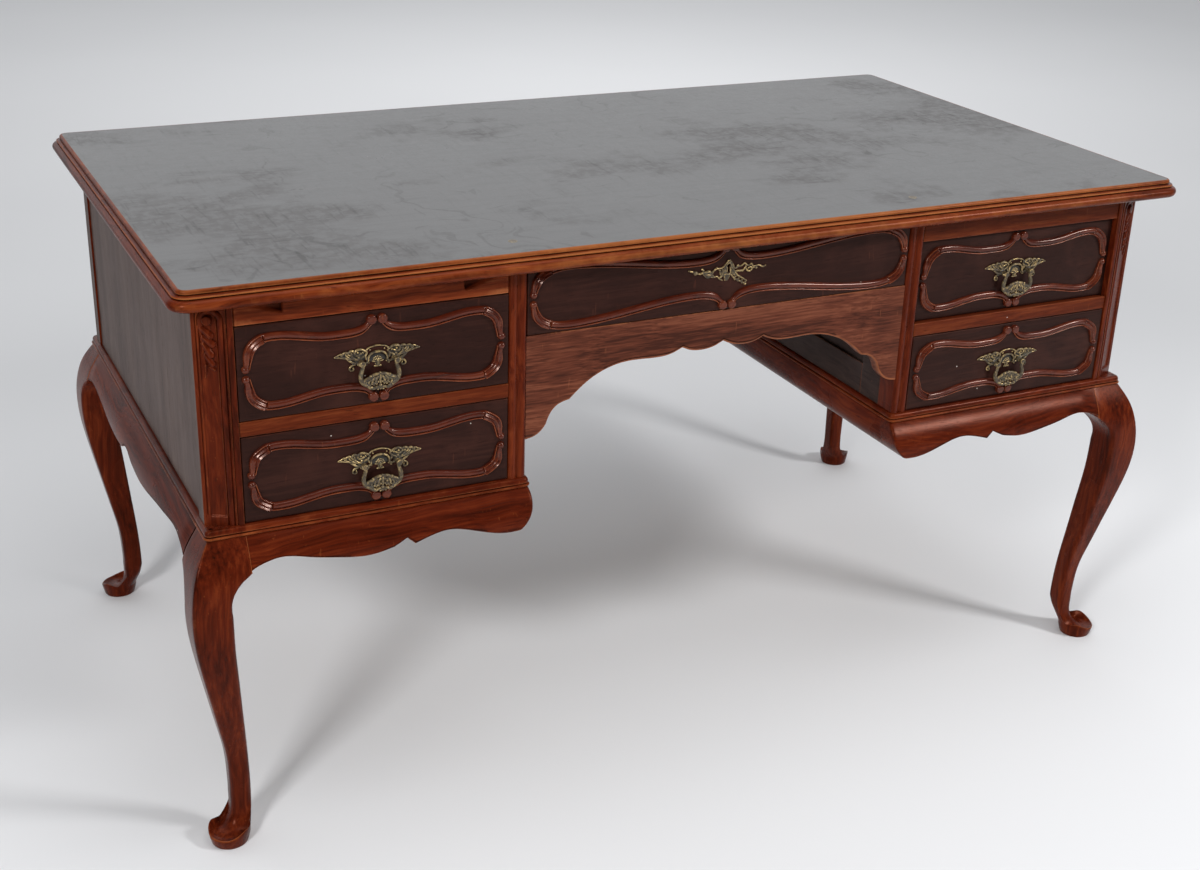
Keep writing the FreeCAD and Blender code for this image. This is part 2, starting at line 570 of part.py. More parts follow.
def make_panels(side, side_name):
    outer_x = HALF_LENGTH - PANEL_RECESS
    outer = block((outer_x - PANEL_THICKNESS, outer_x), (-POST_INNER_Y, POST_INNER_Y), (BASE_TOP, TOP_UNDER))
    save("%s_side_panel" % side_name, flipped(outer, side))
    reach = HALF_DEPTH - INNER_POST_DEPTH
    frame = block((HALF_KNEEHOLE, HALF_KNEEHOLE + FRAME_THICKNESS), (-reach, reach), (BASE_TOP, TOP_UNDER))
    hole = (-reach + FRAME_MEMBER, reach - FRAME_MEMBER)
    hole_z = (BASE_TOP + FRAME_MEMBER, TOP_UNDER - FRAME_MEMBER)
    through = (HALF_KNEEHOLE - CUT_MARGIN, HALF_KNEEHOLE + FRAME_THICKNESS + CUT_MARGIN)
    frame = frame.cut(block(through, hole, hole_z))
    setback = (FRAME_THICKNESS - FRAME_PANEL_THICKNESS) / 2
    panel_x = HALF_KNEEHOLE + setback
    panel = block((panel_x, panel_x + FRAME_PANEL_THICKNESS), hole, hole_z)
    save("%s_inner_panel" % side_name, flipped(frame, side), flipped(panel, side))
    back = block((BAY_INNER, BAY_OUTER), (BACK_FACE_Y - PANEL_THICKNESS, BACK_FACE_Y), (BASE_TOP, TOP_UNDER))
    save("%s_back_panel" % side_name, flipped(back, side))


def make_rails_and_boards():
    bay = (BAY_INNER, BAY_OUTER)
    rail_y = (FACE_Y, FACE_Y + RAIL_DEPTH)
    board_y = (FACE_Y + RAIL_DEPTH, BACK_FACE_Y - PANEL_THICKNESS)
    mid_rail = block(bay, rail_y, (LOWER_TOP, UPPER_FLOOR))
    top_rail = block(bay, rail_y, (UPPER_TOP, TOP_UNDER))
    save("front_rails", top_rail, mid_rail, flipped(mid_rail, LEFT))
    board = block(bay, board_y, (UPPER_FLOOR - BOARD_THICKNESS, UPPER_FLOOR))
    bottom = block((HALF_KNEEHOLE + APRON_BACKING, BAY_OUTER), (-APRON_BACK, APRON_BACK),
                   (BASE_TOP - BOTTOM_THICKNESS, BASE_TOP))
    save("dust_boards", board, flipped(board, LEFT), bottom, flipped(bottom, LEFT))
    runner_y = (FACE_Y + FRONT_THICKNESS + SLIDE_RUNNER_SET_BACK, BACK_FACE_Y - PANEL_THICKNESS)
    runner_z = (UPPER_TOP - RUNNER_HEIGHT, UPPER_TOP)
    runners = [block((BAY_INNER, BAY_INNER + RUNNER_WIDTH), runner_y, runner_z),
               block((BAY_OUTER - RUNNER_WIDTH, BAY_OUTER), runner_y, runner_z)]
    save("slide_runners", *[flipped(r, LEFT) for r in runners])
    centre_y = (FACE_Y + FRONT_THICKNESS, -FACE_Y - FRONT_THICKNESS)
    runner = block((HALF_KNEEHOLE - CENTRE_RUNNER_WIDTH, HALF_KNEEHOLE), centre_y,
                   (CENTRE_FLOOR - CENTRE_RUNNER_HEIGHT, CENTRE_FLOOR))
    save("centre_runners", runner, flipped(runner, LEFT))


# ---- drawers ----

def make_box(x_pair, y_start, z_floor, height):
    """Two sides, a back between them and a bottom held between all three, as separate boards."""
    x_low, x_high = min(x_pair) + BOX_GAP, max(x_pair) - BOX_GAP
    y_end = y_start + BOX_DEPTH
    z_pair = (z_floor + RUNNING_GAP, z_floor + RUNNING_GAP + height)
    inner = (x_low + BOX_WALL, x_high - BOX_WALL)
    under = z_pair[0] + BOX_BOTTOM_UP
    return [
        block((x_low, inner[0]), (y_start, y_end), z_pair),
        block((inner[1], x_high), (y_start, y_end), z_pair),
        block(inner, (y_end - BOX_WALL, y_end), z_pair),
        block(inner, (y_start, y_end - BOX_WALL), (under, under + BOX_BOTTOM)),
    ]


def strip_quarter(half_width, half_height, dip):
    """One of the four raised strips round a drawer front: path and end knobs in the front's upper right."""
    gap = BALL_RADIUS + BALL_SPACING / 2
    rise = half_height - dip

    def at(u, v):
        return Vector(u, 0, v)
    ends = [at(gap, half_height), at(half_width, gap)]
    path = curve([
        ends[0], at(gap + 0.09 * half_width, half_height - 0.7 * dip), at(0.30 * half_width, rise),
        at(0.55 * half_width, rise + 0.25 * dip), at(half_width - STRIP_SHOULDER, half_height - 0.3 * dip),
        at(half_width - 0.45 * STRIP_SHOULDER, half_height - 0.55 * dip),
        at(half_width - 0.24 * STRIP_SHOULDER, 0.62 * half_height),
        ends[1],
    ])
    tangent = path.tangentAt(path.FirstParameter)
    across = tangent.cross(Vector(0, 1, 0))
    proud = Vector(0, -STRIP_RADIUS, 0)
    left = ends[0] + across * STRIP_RADIUS
    right = ends[0] - across * STRIP_RADIUS
    section = Part.Wire([arc(left, ends[0] + proud, right), line(right, left)])
    strip = Part.Wire([path]).makePipeShell([section], True, False)
    knobs = [Part.makeSphere(BALL_RADIUS, end) for end in ends]
    front_half = block((0, half_width + 2 * BALL_RADIUS), (-2 * BALL_RADIUS, 0), (0, half_height + 2 * BALL_RADIUS))
    return strip.fuse([k.common(front_half) for k in knobs])


def make_strips(middle, half_width, half_height, dip):
    quarter = strip_quarter(half_width, half_height, dip)
    strips = []
    for sx in (LEFT, RIGHT):
        for sz in (1, -1):
            strip = flipped(flipped(quarter, sx), sz, Vector(0, 0, 1))
            strips.append(strip.translated(middle))
    return strips


def make_plate(middle):
    """Handle plate with an outline that narrows to a tip at each side, and its two posts."""
    half_w, half_h = PLATE_WIDTH / 2, PLATE_HEIGHT / 2

    def at(u, v):
        return Vector(u * half_w, 0, v * half_h)
    rim = [at(0, 1.05), at(0.28, 0.75), at(0.5, 0.35), at(1.0, 0.25), at(0.62, -0.2), at(0.5, -0.8),
           at(0.2, -0.75), at(0, -0.9)]
    right = curve(rim)
    outline = [right, right.mirror(ORIGIN, Vector(1, 0, 0))]
    plate = extruded(outline, Vector(0, -PLATE_THICKNESS, 0)).translated(middle)
    posts = []
    pivot_z = middle.z - PIVOT_DROP
    for side in (LEFT, RIGHT):
        root = Vector(middle.x + side * PIVOT_SPAN / 2, middle.y - PLATE_THICKNESS, pivot_z)
        length = PIVOT_STANDOFF - PLATE_THICKNESS + POST_RADIUS
        post = Part.makeCylinder(POST_RADIUS, length, root, Vector(0, -1, 0))
        hole = Part.makeCylinder(PIN_RADIUS + PIN_CLEARANCE, 4 * POST_RADIUS,
                                 Vector(root.x - 2 * POST_RADIUS, middle.y - PIVOT_STANDOFF, pivot_z),
                                 Vector(1, 0, 0))
        posts.append(post.cut(hole))
    return [plate] + posts


def make_bail(middle):
    """The swinging bail: a bow of round bar with a pin at each end that turns in a post."""
    pivot = Vector(middle.x, middle.y - PIVOT_STANDOFF, middle.z - PIVOT_DROP)
    arm = PIVOT_SPAN / 2 + POST_RADIUS + BAIL_SIDE_GAP + BAIL_RADIUS
    points = [Vector(arm, 0, 0), Vector(arm + BAIL_FLARE, 0, -0.35 * BAIL_DROP),
              Vector(0.62 * arm, 0, -0.86 * BAIL_DROP), Vector(0, 0, -BAIL_DROP)]
    points += [Vector(-p.x, 0, p.z) for p in reversed(points[:-1])]
    path = curve(points)
    ring = Part.Wire([Part.makeCircle(BAIL_RADIUS, points[0], path.tangentAt(path.FirstParameter))])
    bow = Part.Wire([path]).makePipeShell([ring], True, False)
    ends = []
    for side in (LEFT, RIGHT):
        ends.append(Part.makeSphere(BAIL_RADIUS, Vector(side * arm, 0, 0)))
        pin_length = 2 * POST_RADIUS + BAIL_SIDE_GAP + BAIL_RADIUS
        ends.append(Part.makeCylinder(PIN_RADIUS, pin_length, Vector(side * arm, 0, 0), Vector(-side, 0, 0)))
    return bow.fuse(ends).removeSplitter().translated(pivot)


def make_drawer(name, side, z_pair, box_height, set_back):
    x_pair = (side * BAY_INNER, side * BAY_OUTER)
    face_y = FACE_Y + set_back
    front = block((x_pair[0] + side * FRONT_GAP, x_pair[1] - side * FRONT_GAP),
                  (face_y, face_y + FRONT_THICKNESS), (z_pair[0] + FRONT_GAP, z_pair[1] - FRONT_GAP))
    middle = Vector(side * BAY_MIDDLE, face_y, sum(z_pair) / 2)
    save(name + "_front", front)
    save(name + "_box", *make_box(x_pair, face_y + FRONT_THICKNESS, z_pair[0], box_height))
    half_width = (BAY_OUTER - BAY_INNER) / 2 - STRIP_SIDE_MARGIN
    half_height = (z_pair[1] - z_pair[0]) / 2 - STRIP_TOP_MARGIN
    save(name + "_mouldings", *make_strips(middle, half_width, half_height, STRIP_DIP))
    save(name + "_handle", *make_plate(middle))
    save(name + "_bail", make_bail(middle))


def make_keyhole(middle):
    """What a keyhole takes away: a round hole with a slot under it, from the escutcheon through the front."""
    back = FRONT_THICKNESS + CUT_MARGIN
    eye = Part.makeCylinder(KEYHOLE_RADIUS, back + ESCUTCHEON_THICKNESS + CUT_MARGIN,
                            middle + Vector(0, back, 0), Vector(0, -1, 0))
    slot = block((-KEYHOLE_RADIUS / 2, KEYHOLE_RADIUS / 2), (middle.y + back, middle.y - CUT_MARGIN),
                 (middle.z - KEYHOLE_DROP, middle.z))
    return eye.fuse(slot)


def make_escutcheon(middle):
    half_w, half_h = ESCUTCHEON_WIDTH / 2, ESCUTCHEON_HEIGHT / 2

    def at(u, v):
        return middle + Vector(u * half_w, 0, v * half_h)
    rim = [at(0, 0.75), at(0.3, 0.3), at(1, -0.05), at(0.45, -0.35), at(0.52, -1), at(0.15, -0.7), at(0, -0.8),
           at(-0.3, -0.55), at(-1, -0.15), at(-0.4, 0.3)]
    return extruded(polygon(rim), Vector(0, -ESCUTCHEON_THICKNESS, 0))


def make_centre_drawer():
    x_pair = (-HALF_KNEEHOLE, HALF_KNEEHOLE)
    z_pair = (CENTRE_FLOOR, TOP_UNDER)
    middle = Vector(0, FACE_Y, sum(z_pair) / 2)
    front = block((x_pair[0] + FRONT_GAP, x_pair[1] - FRONT_GAP), (FACE_Y, FACE_Y + FRONT_THICKNESS),
                  (z_pair[0] + FRONT_GAP, z_pair[1] - FRONT_GAP))
    key = middle + Vector(0, 0, KEYHOLE_UP)
    keyhole = make_keyhole(key)
    save("centre_drawer_front", front.cut(keyhole))
    save("centre_drawer_box", *make_box(x_pair, FACE_Y + FRONT_THICKNESS, CENTRE_FLOOR, CENTRE_BOX_HEIGHT))
    half_width = HALF_KNEEHOLE - CENTRE_STRIP_SIDE_MARGIN
    half_height = CENTRE_BAY / 2 - CENTRE_STRIP_TOP_MARGIN
    save("centre_drawer_mouldings", *make_strips(middle, half_width, half_height, CENTRE_STRIP_DIP))
    save("centre_drawer_escutcheon", make_escutcheon(key).cut(keyhole))
    lock_y = FACE_Y + FRONT_THICKNESS
    lock_top = z_pair[1] - FRONT_GAP
    save("centre_drawer_lock", block((-LOCK_WIDTH / 2, LOCK_WIDTH / 2), (lock_y, lock_y + LOCK_THICKNESS),
                                     (lock_top - LOCK_HEIGHT, lock_top)))


def make_writing_slide():
    """A pull-out leaf over the left drawers; a scoop for the fingers is cut into each end of its front strip."""
    x_pair = (-BAY_INNER - FRONT_GAP, -BAY_OUTER + FRONT_GAP)
    z_pair = (UPPER_TOP + RUNNING_GAP, TOP_UNDER - SLIDE_TOP_GAP)
    strip = block(x_pair, (FACE_Y, FACE_Y + FRONT_THICKNESS), z_pair)
    for end in x_pair:
        inward = math.copysign(SCOOP_LENGTH, -BAY_MIDDLE - end)
        strip = strip.cut(block((end, end + inward), (FACE_Y - CUT_MARGIN, FACE_Y + SCOOP_DEPTH),
                                (z_pair[1] - SCOOP_HEIGHT, z_pair[1] + CUT_MARGIN)))
    leaf = block(x_pair, (FACE_Y + FRONT_THICKNESS, FACE_Y + FRONT_THICKNESS + SLIDE_DEPTH),
                 (z_pair[0], z_pair[0] + SLIDE_LEAF))
    save("writing_slide_front", strip)
    save("writing_slide_leaf", leaf)


def main():
    os.makedirs("parts", exist_ok=True)
    make_top()
    make_posts_and_legs()
    for side, side_name in ((LEFT, "left"), (RIGHT, "right")):
        make_aprons(side, side_name)
        make_panels(side, side_name)
        upper_set_back = LOOSE_DRAWER_SET_BACK if side == RIGHT else 0
        make_drawer(side_name + "_upper_drawer", side, (UPPER_FLOOR, UPPER_TOP), UPPER_BOX_HEIGHT, upper_set_back)
        make_drawer(side_name + "_lower_drawer", side, (BASE_TOP, LOWER_TOP), LOWER_BOX_HEIGHT, 0)
    make_kneehole_aprons()
    make_rails_and_boards()
    make_centre_drawer()
    make_writing_slide()


main()
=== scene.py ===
# %% [markdown]
# # A captain's desk, dressed
# The desk's solids come ready made from the part file. This lesson loads them as a fixed frame and then
# builds everything the eye looks for around them: carved posts, swelling aprons, cast brass, old polish
# and a scuffed writing top.

# %% Load the frame
import json
import math
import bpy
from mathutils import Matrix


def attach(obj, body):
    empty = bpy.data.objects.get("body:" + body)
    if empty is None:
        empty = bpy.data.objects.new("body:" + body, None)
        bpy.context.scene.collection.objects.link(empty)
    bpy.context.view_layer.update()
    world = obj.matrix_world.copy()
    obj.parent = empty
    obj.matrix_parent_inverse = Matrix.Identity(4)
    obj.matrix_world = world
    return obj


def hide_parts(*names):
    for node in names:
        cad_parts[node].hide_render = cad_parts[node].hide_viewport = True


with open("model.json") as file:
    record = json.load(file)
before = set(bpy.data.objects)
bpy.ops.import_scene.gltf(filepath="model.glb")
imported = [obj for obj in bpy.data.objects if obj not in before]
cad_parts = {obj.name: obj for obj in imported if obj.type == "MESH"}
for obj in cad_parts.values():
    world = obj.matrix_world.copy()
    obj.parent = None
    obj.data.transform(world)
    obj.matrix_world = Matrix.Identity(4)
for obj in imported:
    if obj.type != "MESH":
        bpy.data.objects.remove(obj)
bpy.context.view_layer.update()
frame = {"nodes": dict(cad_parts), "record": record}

import zlib
import bmesh
import bpy
import numpy as np
from mathutils import Matrix

NODES = frame["nodes"]
MM = 0.001
print("nodes in the frame:", len(NODES))

# %% [markdown]
# ## Where we stand
# The desk is seen from its left front corner, a little above. A camera can be placed by eye, or by three
# plain angles: turned to the right (yaw), tipped down (pitch) and held slightly crooked (roll). Angles are
# used here, because a matrix built from them can be read and changed one at a time.

# %% The camera
EYE_MM = (-1108.4, -2239.8, 1408.9)
YAW, PITCH, ROLL = math.radians(26.32), math.radians(23.50), math.radians(-1.85)
FOCAL_PIXELS, PICTURE_WIDTH = 1691.2, 1200.0


def camera_axes(yaw, pitch, roll):
    """Right, up and backward directions of a camera turned, tipped and rolled by these angles."""
    forward = np.array([math.sin(yaw) * math.cos(pitch), math.cos(yaw) * math.cos(pitch), -math.sin(pitch)])
    level = np.array([math.cos(yaw), -math.sin(yaw), 0.0])
    down = -np.cross(level, forward)
    right = level * math.cos(roll) + down * math.sin(roll)
    tipped = down * math.cos(roll) - level * math.sin(roll)
    return right, -tipped, -forward


lens = bpy.data.cameras.new("view_of_desk")
lens.sensor_fit, lens.sensor_width = "HORIZONTAL", 36.0
lens.lens = FOCAL_PIXELS / PICTURE_WIDTH * lens.sensor_width
eye = bpy.data.objects.new("view_of_desk", lens)
bpy.context.scene.collection.objects.link(eye)
right, up, backward = camera_axes(YAW, PITCH, ROLL)
eye.matrix_world = Matrix([[right[i], up[i], backward[i], EYE_MM[i] * MM] for i in range(3)] + [[0, 0, 0, 1]])
bpy.context.scene.camera = eye
print("lens: %.2f mm" % lens.lens)

# %% [markdown]
# ## Writing shaders as sums
# A material is a small machine of boxes and wires. Wiring it by hand hides the idea, so one class stands
# for a wire and knows how to add, subtract and multiply: `1 - rubbed * 0.5` then makes its own Math boxes.
# A bench holds one material's boxes, and its `add` makes any other kind of box.

# %% The wire and the bench
class Wire:
    """One output of one shader box."""

    def __init__(self, bench, node, out=0):
        self.bench, self.node, self.socket = bench, node, node.outputs[out]

    def __getitem__(self, out):
        return Wire(self.bench, self.node, out)

    def _maths(self, operation, first, second=None, clamp=False):
        given = {0: first} if second is None else {0: first, 1: second}
        return self.bench.add("ShaderNodeMath", {"operation": operation, "use_clamp": clamp}, given)

    def __add__(self, other):
        return self._maths("ADD", self, other)

    def __radd__(self, other):
        return self._maths("ADD", other, self)

    def __sub__(self, other):
        return self._maths("SUBTRACT", self, other)

    def __rsub__(self, other):
        return self._maths("SUBTRACT", other, self)

    def __mul__(self, other):
        return self._maths("MULTIPLY", self, other)

    def __rmul__(self, other):
        return self._maths("MULTIPLY", other, self)

    def __neg__(self):
        return self._maths("MULTIPLY", self, -1.0)

    def above(self, low, high):
        """0 under low, 1 over high, and a soft step between."""
        settings = {"interpolation_type": "SMOOTHSTEP"}
        return self.bench.add("ShaderNodeMapRange", settings, {"Value": self, "From Min": low, "From Max": high})

    def held(self):
        return self._maths("ADD", self, 0.0, clamp=True)

    def most(self, other):
        return self._maths("MAXIMUM", self, other)


class Bench:
    """The boxes of one material, ending in one surface shader."""

    def __init__(self, name):
        self.material = bpy.data.materials.new(name)
        self.material.use_nodes = True
        self.tree = self.material.node_tree
        self.tree.nodes.clear()
        self.place = self.add("ShaderNodeTexCoord")["Object"]

    def add(self, kind, settings=None, sockets=None, out=0):
        """Any box: its settings first, then what its sockets hold or are wired to."""
        node = self.tree.nodes.new(kind)
        for key, value in (settings or {}).items():
            if key == "stops":
                ramp = node.color_ramp
                while len(ramp.elements) < len(value):
                    ramp.elements.new(0.5)
                for element, (spot, colour) in zip(ramp.elements, value):
                    element.position, element.color = spot, (*colour, 1.0)
            else:
                setattr(node, key, value)
        for key, value in (sockets or {}).items():
            socket = node.inputs[key]
            if isinstance(value, Wire):
                self.tree.links.new(value.socket, socket)
            elif socket.type == "RGBA" and len(value) == 3:
                socket.default_value = (*value, 1.0)
            else:
                socket.default_value = value
        return Wire(self, node, out)

    def stretched(self, place, scale):
        return self.add("ShaderNodeVectorMath", {"operation": "MULTIPLY"}, {0: place, 1: scale})

    def shifted(self, place, x, y, z=0.0):
        """The place moved by three values, each a number or a wire."""
        by = self.add("ShaderNodeCombineXYZ", {}, {0: x, 1: y, 2: z})
        return self.add("ShaderNodeVectorMath", {"operation": "ADD"}, {0: place, 1: by})

    def noted(self, name):
        """A value each mesh carries: the rub value is above 0 where rubbed and below 0 in hollows, where grime and
        painted shade are laid; the board value is a number.
        """
        return self.add("ShaderNodeAttribute", {"attribute_name": name})["Fac"]

    def noise(self, place, scale, detail=2.0, rough=0.5):
        """Cloudy values around 0.5."""
        return self.add("ShaderNodeTexNoise", {}, {"Vector": place, "Scale": scale, "Detail": detail,
                                                   "Roughness": rough})["Fac"]

    def cells(self, place, scale):
        """Distance to scattered points, and a colour that belongs to each point."""
        return self.add("ShaderNodeTexVoronoi", {}, {"Vector": place, "Scale": scale})

    def blend(self, share, first, second, kind="MIX"):
        """Two colours mixed; MULTIPLY and the other kinds work as they do in painting programs."""
        settings = {"data_type": "RGBA", "blend_type": kind, "clamp_factor": True}
        node = self.add("ShaderNodeMix", settings, {0: share, 6: first, 7: second})
        return node[2]

    def height(self, value, depth_mm, strength=1.0, under=None):
        """Relief from a 0-to-1 value that stands depth_mm high."""
        sockets = {"Height": value, "Distance": depth_mm * MM, "Strength": strength}
        if under is not None:
            sockets["Normal"] = under
        return self.add("ShaderNodeBump", {}, sockets)["Normal"]

    def finish(self, **sockets):
        """The surface shader. Names are written with _ for a space."""
        given = {key.replace("_", " "): value for key, value in sockets.items()}
        shader = self.add("ShaderNodeBsdfPrincipled", {}, given)
        out = self.tree.nodes.new("ShaderNodeOutputMaterial")
        self.tree.links.new(shader.socket, out.inputs["Surface"])
        return self.material


print("shader helpers ready")

# %% [markdown]
# ## Old polished wood
# One recipe makes all the woods of the desk. Wood is stretched noise: the pattern is long along the grain
# and short across it. On top come dark pores, then a polish that has rubbed thin on edges, grime and painted
# shade darkening the corners, fine scratches, and a few pale specks. Only the colours, the grain's direction
# and the amount of wear change from one wood to the next.

# %% The wood recipe
ALONG = {"x": (0.07, 1.0, 1.0), "y": (1.0, 0.07, 1.0), "z": (1.0, 1.0, 0.07)}
PALE_SPECK, DUSTY = (0.62, 0.56, 0.50), (0.16, 0.15, 0.155)


def polished_wood(name, grain, deep, body, light, worn, wear=1.0, gloss=0.34, figure=1.0, specks=0.3,
                  bloom=0.0, shine=0.16, scratches=0.4, clouds=0.0, wave=0.05, fine=1.0, tint=(1.0, 0.40, 0.26)):
    b = Bench(name)
    rub, board = b.noted("rub"), b.noted("board")
    moved = b.shifted(b.place, board * 1.3, board * 2.1, board * 3.7)
    drift = b.noise(moved, 5.0, 2.0) * wave
    bent = b.shifted(b.stretched(moved, ALONG[grain]), drift, drift, drift)
    bands = b.noise(bent, 26.0 * fine, 3.0, 0.6)
    fibre = b.noise(bent, 210.0 * fine, 2.0, 0.6)
    pores = b.noise(bent, 620.0, 1.0, 0.5)
    cloud = b.noise(moved, 9.0, 3.0, 0.6)
    tone = bands * 0.5 + fibre * 0.5
    colour = b.add("ShaderNodeValToRGB", {"stops": [(0.36, deep), (0.5, body), (0.66, light)]},
                   {0: (tone - 0.5) * (0.8 * figure) + 0.5 + (cloud - 0.5) * 0.16})["Color"]
    if clouds:
        colour = b.blend(b.noise(moved, 7.0, 4.0, 0.62).above(0.48, 0.68) * clouds, colour, light)
    pore = pores.above(0.62, 0.74)
    colour = b.blend(pore * 0.5, colour, tuple(0.35 * c for c in deep))
    patch = b.noise(moved, 38.0, 3.0, 0.65)
    rubbed = ((rub + (patch - 0.5) * 0.55).above(0.12, 0.62) * wear).held()
    colour = b.blend(rubbed * 0.85, colour, worn)
    # Hollows and inside corners, where the rub value is below 0, are darkened: grime, and painted shade in the same
    # places.
    grime_and_shade = ((-rub + (patch - 0.5) * 0.3).above(0.1, 0.5)).held()
    colour = b.blend(grime_and_shade * 0.8, colour, tuple(0.16 * c for c in deep))
    scuff = b.noise(b.stretched(moved, (1.0, 1.0, 0.12) if grain == "x" else (1.0, 1.0, 1.0)), 240.0, 1.0)
    scratch = (scuff.above(0.7, 0.76) * b.noise(moved, 14.0, 2.0).above(0.5, 0.62)) * scratches
    colour = b.blend(scratch * 0.6, colour, worn)
    if bloom:
        colour = b.blend(cloud.above(0.3, 0.75) * bloom, colour, DUSTY)
    fleck = b.cells(moved, 70.0)
    chosen = b.add("ShaderNodeSeparateColor", {}, {0: fleck["Color"]})["Red"]
    speck = (1 - fleck["Distance"].above(0.05, 0.075)) * chosen.above(1.0 - 0.06 * specks, 1.0 - 0.055 * specks)
    colour = b.blend(speck * 0.85, colour, PALE_SPECK)
    polish = gloss + (cloud - 0.5) * 0.16 + rubbed * 0.12 + grime_and_shade * 0.2 + pore * 0.08
    relief = b.height(pore * -0.5 + fibre * 0.35, 0.12, 0.6)
    relief = b.height(cloud, 1.2, 0.35, relief)
    return b.finish(Base_Color=colour, Roughness=polish.held(), Normal=relief, Specular_IOR_Level=shine,
                    Specular_Tint=tint)


RED = dict(deep=(0.028, 0.0036, 0.0014), body=(0.082, 0.0102, 0.0030), light=(0.165, 0.028, 0.0075),
           worn=(0.30, 0.080, 0.022), gloss=0.27)
MAHOGANY = {g: polished_wood("mahogany_" + g, g, **RED, shine=0.06 if g == "y" else 0.16) for g in "xyz"}
STRIP_WOOD = polished_wood("moulding_wood", "x", deep=(0.030, 0.0045, 0.0022), body=(0.078, 0.0120, 0.0048),
                           light=(0.145, 0.030, 0.011), worn=(0.27, 0.070, 0.022), specks=0.5, gloss=0.21, shine=0.42,
                           tint=(1.0, 0.72, 0.62))
DRAWER_WOOD = polished_wood("dark_drawer_wood", "x", deep=(0.013, 0.0050, 0.0040), body=(0.0190, 0.0066, 0.0050),
                            light=(0.044, 0.0150, 0.0105), worn=(0.12, 0.036, 0.020), specks=1.0, gloss=0.40,
                            clouds=0.6, figure=0.7, wave=0.03, tint=(1.0, 0.6, 0.5))
RAIL_WOOD = polished_wood("rail_wood", "x", deep=(0.050, 0.0080, 0.0026), body=(0.100, 0.0165, 0.0048),
                          light=(0.17, 0.038, 0.0110), worn=(0.30, 0.092, 0.030), wear=0.9, gloss=0.38, wave=0.02,
                          fine=1.4)
EDGE_WOOD = polished_wood("moulding_front", "x", deep=RED["deep"], body=(0.120, 0.0190, 0.0050),
                          light=(0.22, 0.045, 0.0110), worn=(0.30, 0.100, 0.028), gloss=RED["gloss"])
SLIDE_WOOD = polished_wood("slide_wood", "x", deep=(0.070, 0.0110, 0.0040), body=(0.165, 0.0280, 0.0080),
                           light=(0.26, 0.060, 0.018), worn=(0.42, 0.14, 0.050), wave=0.02, fine=1.4)
APRON_WOOD = polished_wood("kneehole_wood", "x", deep=(0.045, 0.0125, 0.0070), body=(0.108, 0.0290, 0.0150),
                           light=(0.185, 0.058, 0.030), worn=(0.36, 0.12, 0.05), figure=1.5, gloss=0.42,
                           wave=0.015, fine=1.7, tint=(1.0, 0.6, 0.5))
PANEL_WOOD = polished_wood("side_panel_wood", "z", deep=(0.040, 0.021, 0.0160), body=(0.080, 0.048, 0.0380),
                           light=(0.125, 0.082, 0.066), worn=(0.26, 0.11, 0.055), gloss=0.50, bloom=0.18,
                           scratches=0.6, wave=0.02, fine=1.3, tint=(1.0, 0.8, 0.75))
INNER_PANEL_WOOD = polished_wood("kneehole_panel_wood", "y", deep=(0.012, 0.0075, 0.0065),
                                 body=(0.024, 0.0145, 0.0125), light=(0.042, 0.025, 0.021), worn=(0.13, 0.05, 0.03),
                                 gloss=0.5, bloom=0.08)
CASE_WOOD = polished_wood("case_wood", "y", deep=(0.17, 0.10, 0.055), body=(0.27, 0.17, 0.095),
                          light=(0.36, 0.24, 0.14), worn=(0.42, 0.30, 0.19), gloss=0.7, shine=0.2, tint=(1.0, 1.0, 1.0))
BOX_WOOD = polished_wood("drawer_lining_wood", "y", deep=(0.28, 0.19, 0.10), body=(0.42, 0.30, 0.175),
                         light=(0.54, 0.41, 0.26), worn=(0.60, 0.48, 0.33), gloss=0.66, shine=0.25,
                         tint=(1.0, 1.0, 1.0))
print("woods:", len([m for m in bpy.data.materials if "wood" in m.name or "mahogany" in m.name]))

# %% [markdown]
# ## Metals and the writing top
# Old brass is bright only where hands reach it; elsewhere it keeps a green-brown skin, which is not metal
# at all. So one rub value drives both the colour and how metallic the spot is, and its hollows go nearly
# black, patina with painted shade on it. The top is leathercloth: dark grey, pressed with a fine grain,
# brownish in the patches that arms have rubbed, and full of scratches, dark dots and a few pale ones.

# %% Brass, iron and leathercloth
def aged_brass(name, bright, skin, rubbing=1.0):
    b = Bench(name)
    rub = b.noted("rub")
    cloud = b.noise(b.place, 160.0, 3.0, 0.65)
    fine = b.noise(b.place, 900.0, 2.0)
    clean = ((rub * rubbing * 0.8 + (cloud - 0.5) * 1.3 - 0.03).above(0.0, 0.45)).held()
    green = b.noise(b.place, 70.0, 2.0).above(0.5, 0.75)
    dull = b.blend(green * 0.35, skin, (0.075, 0.080, 0.050))
    colour = b.blend(clean, dull, b.blend(fine, bright, tuple(0.6 * c for c in bright)))
    # Hollows are darkened nearly to black: the patina held there, with painted shade on it.
    patina_and_shade_in_hollows = (0.12 - rub).above(0.0, 0.5)
    colour = b.blend(patina_and_shade_in_hollows * 0.85, colour, (0.008, 0.006, 0.004))
    return b.finish(Base_Color=colour, Metallic=clean * 0.85, Roughness=0.40 - clean * 0.14 + fine * 0.1,
                    Normal=b.height(fine, 0.15, 0.5))


BRASS = aged_brass("aged_brass", bright=(0.66, 0.47, 0.21), skin=(0.050, 0.033, 0.016))
PLUG_BRASS = aged_brass("plug_brass", bright=(0.46, 0.38, 0.24), skin=(0.13, 0.10, 0.065))
IRON = aged_brass("lock_iron", bright=(0.22, 0.21, 0.20), skin=(0.05, 0.045, 0.04))


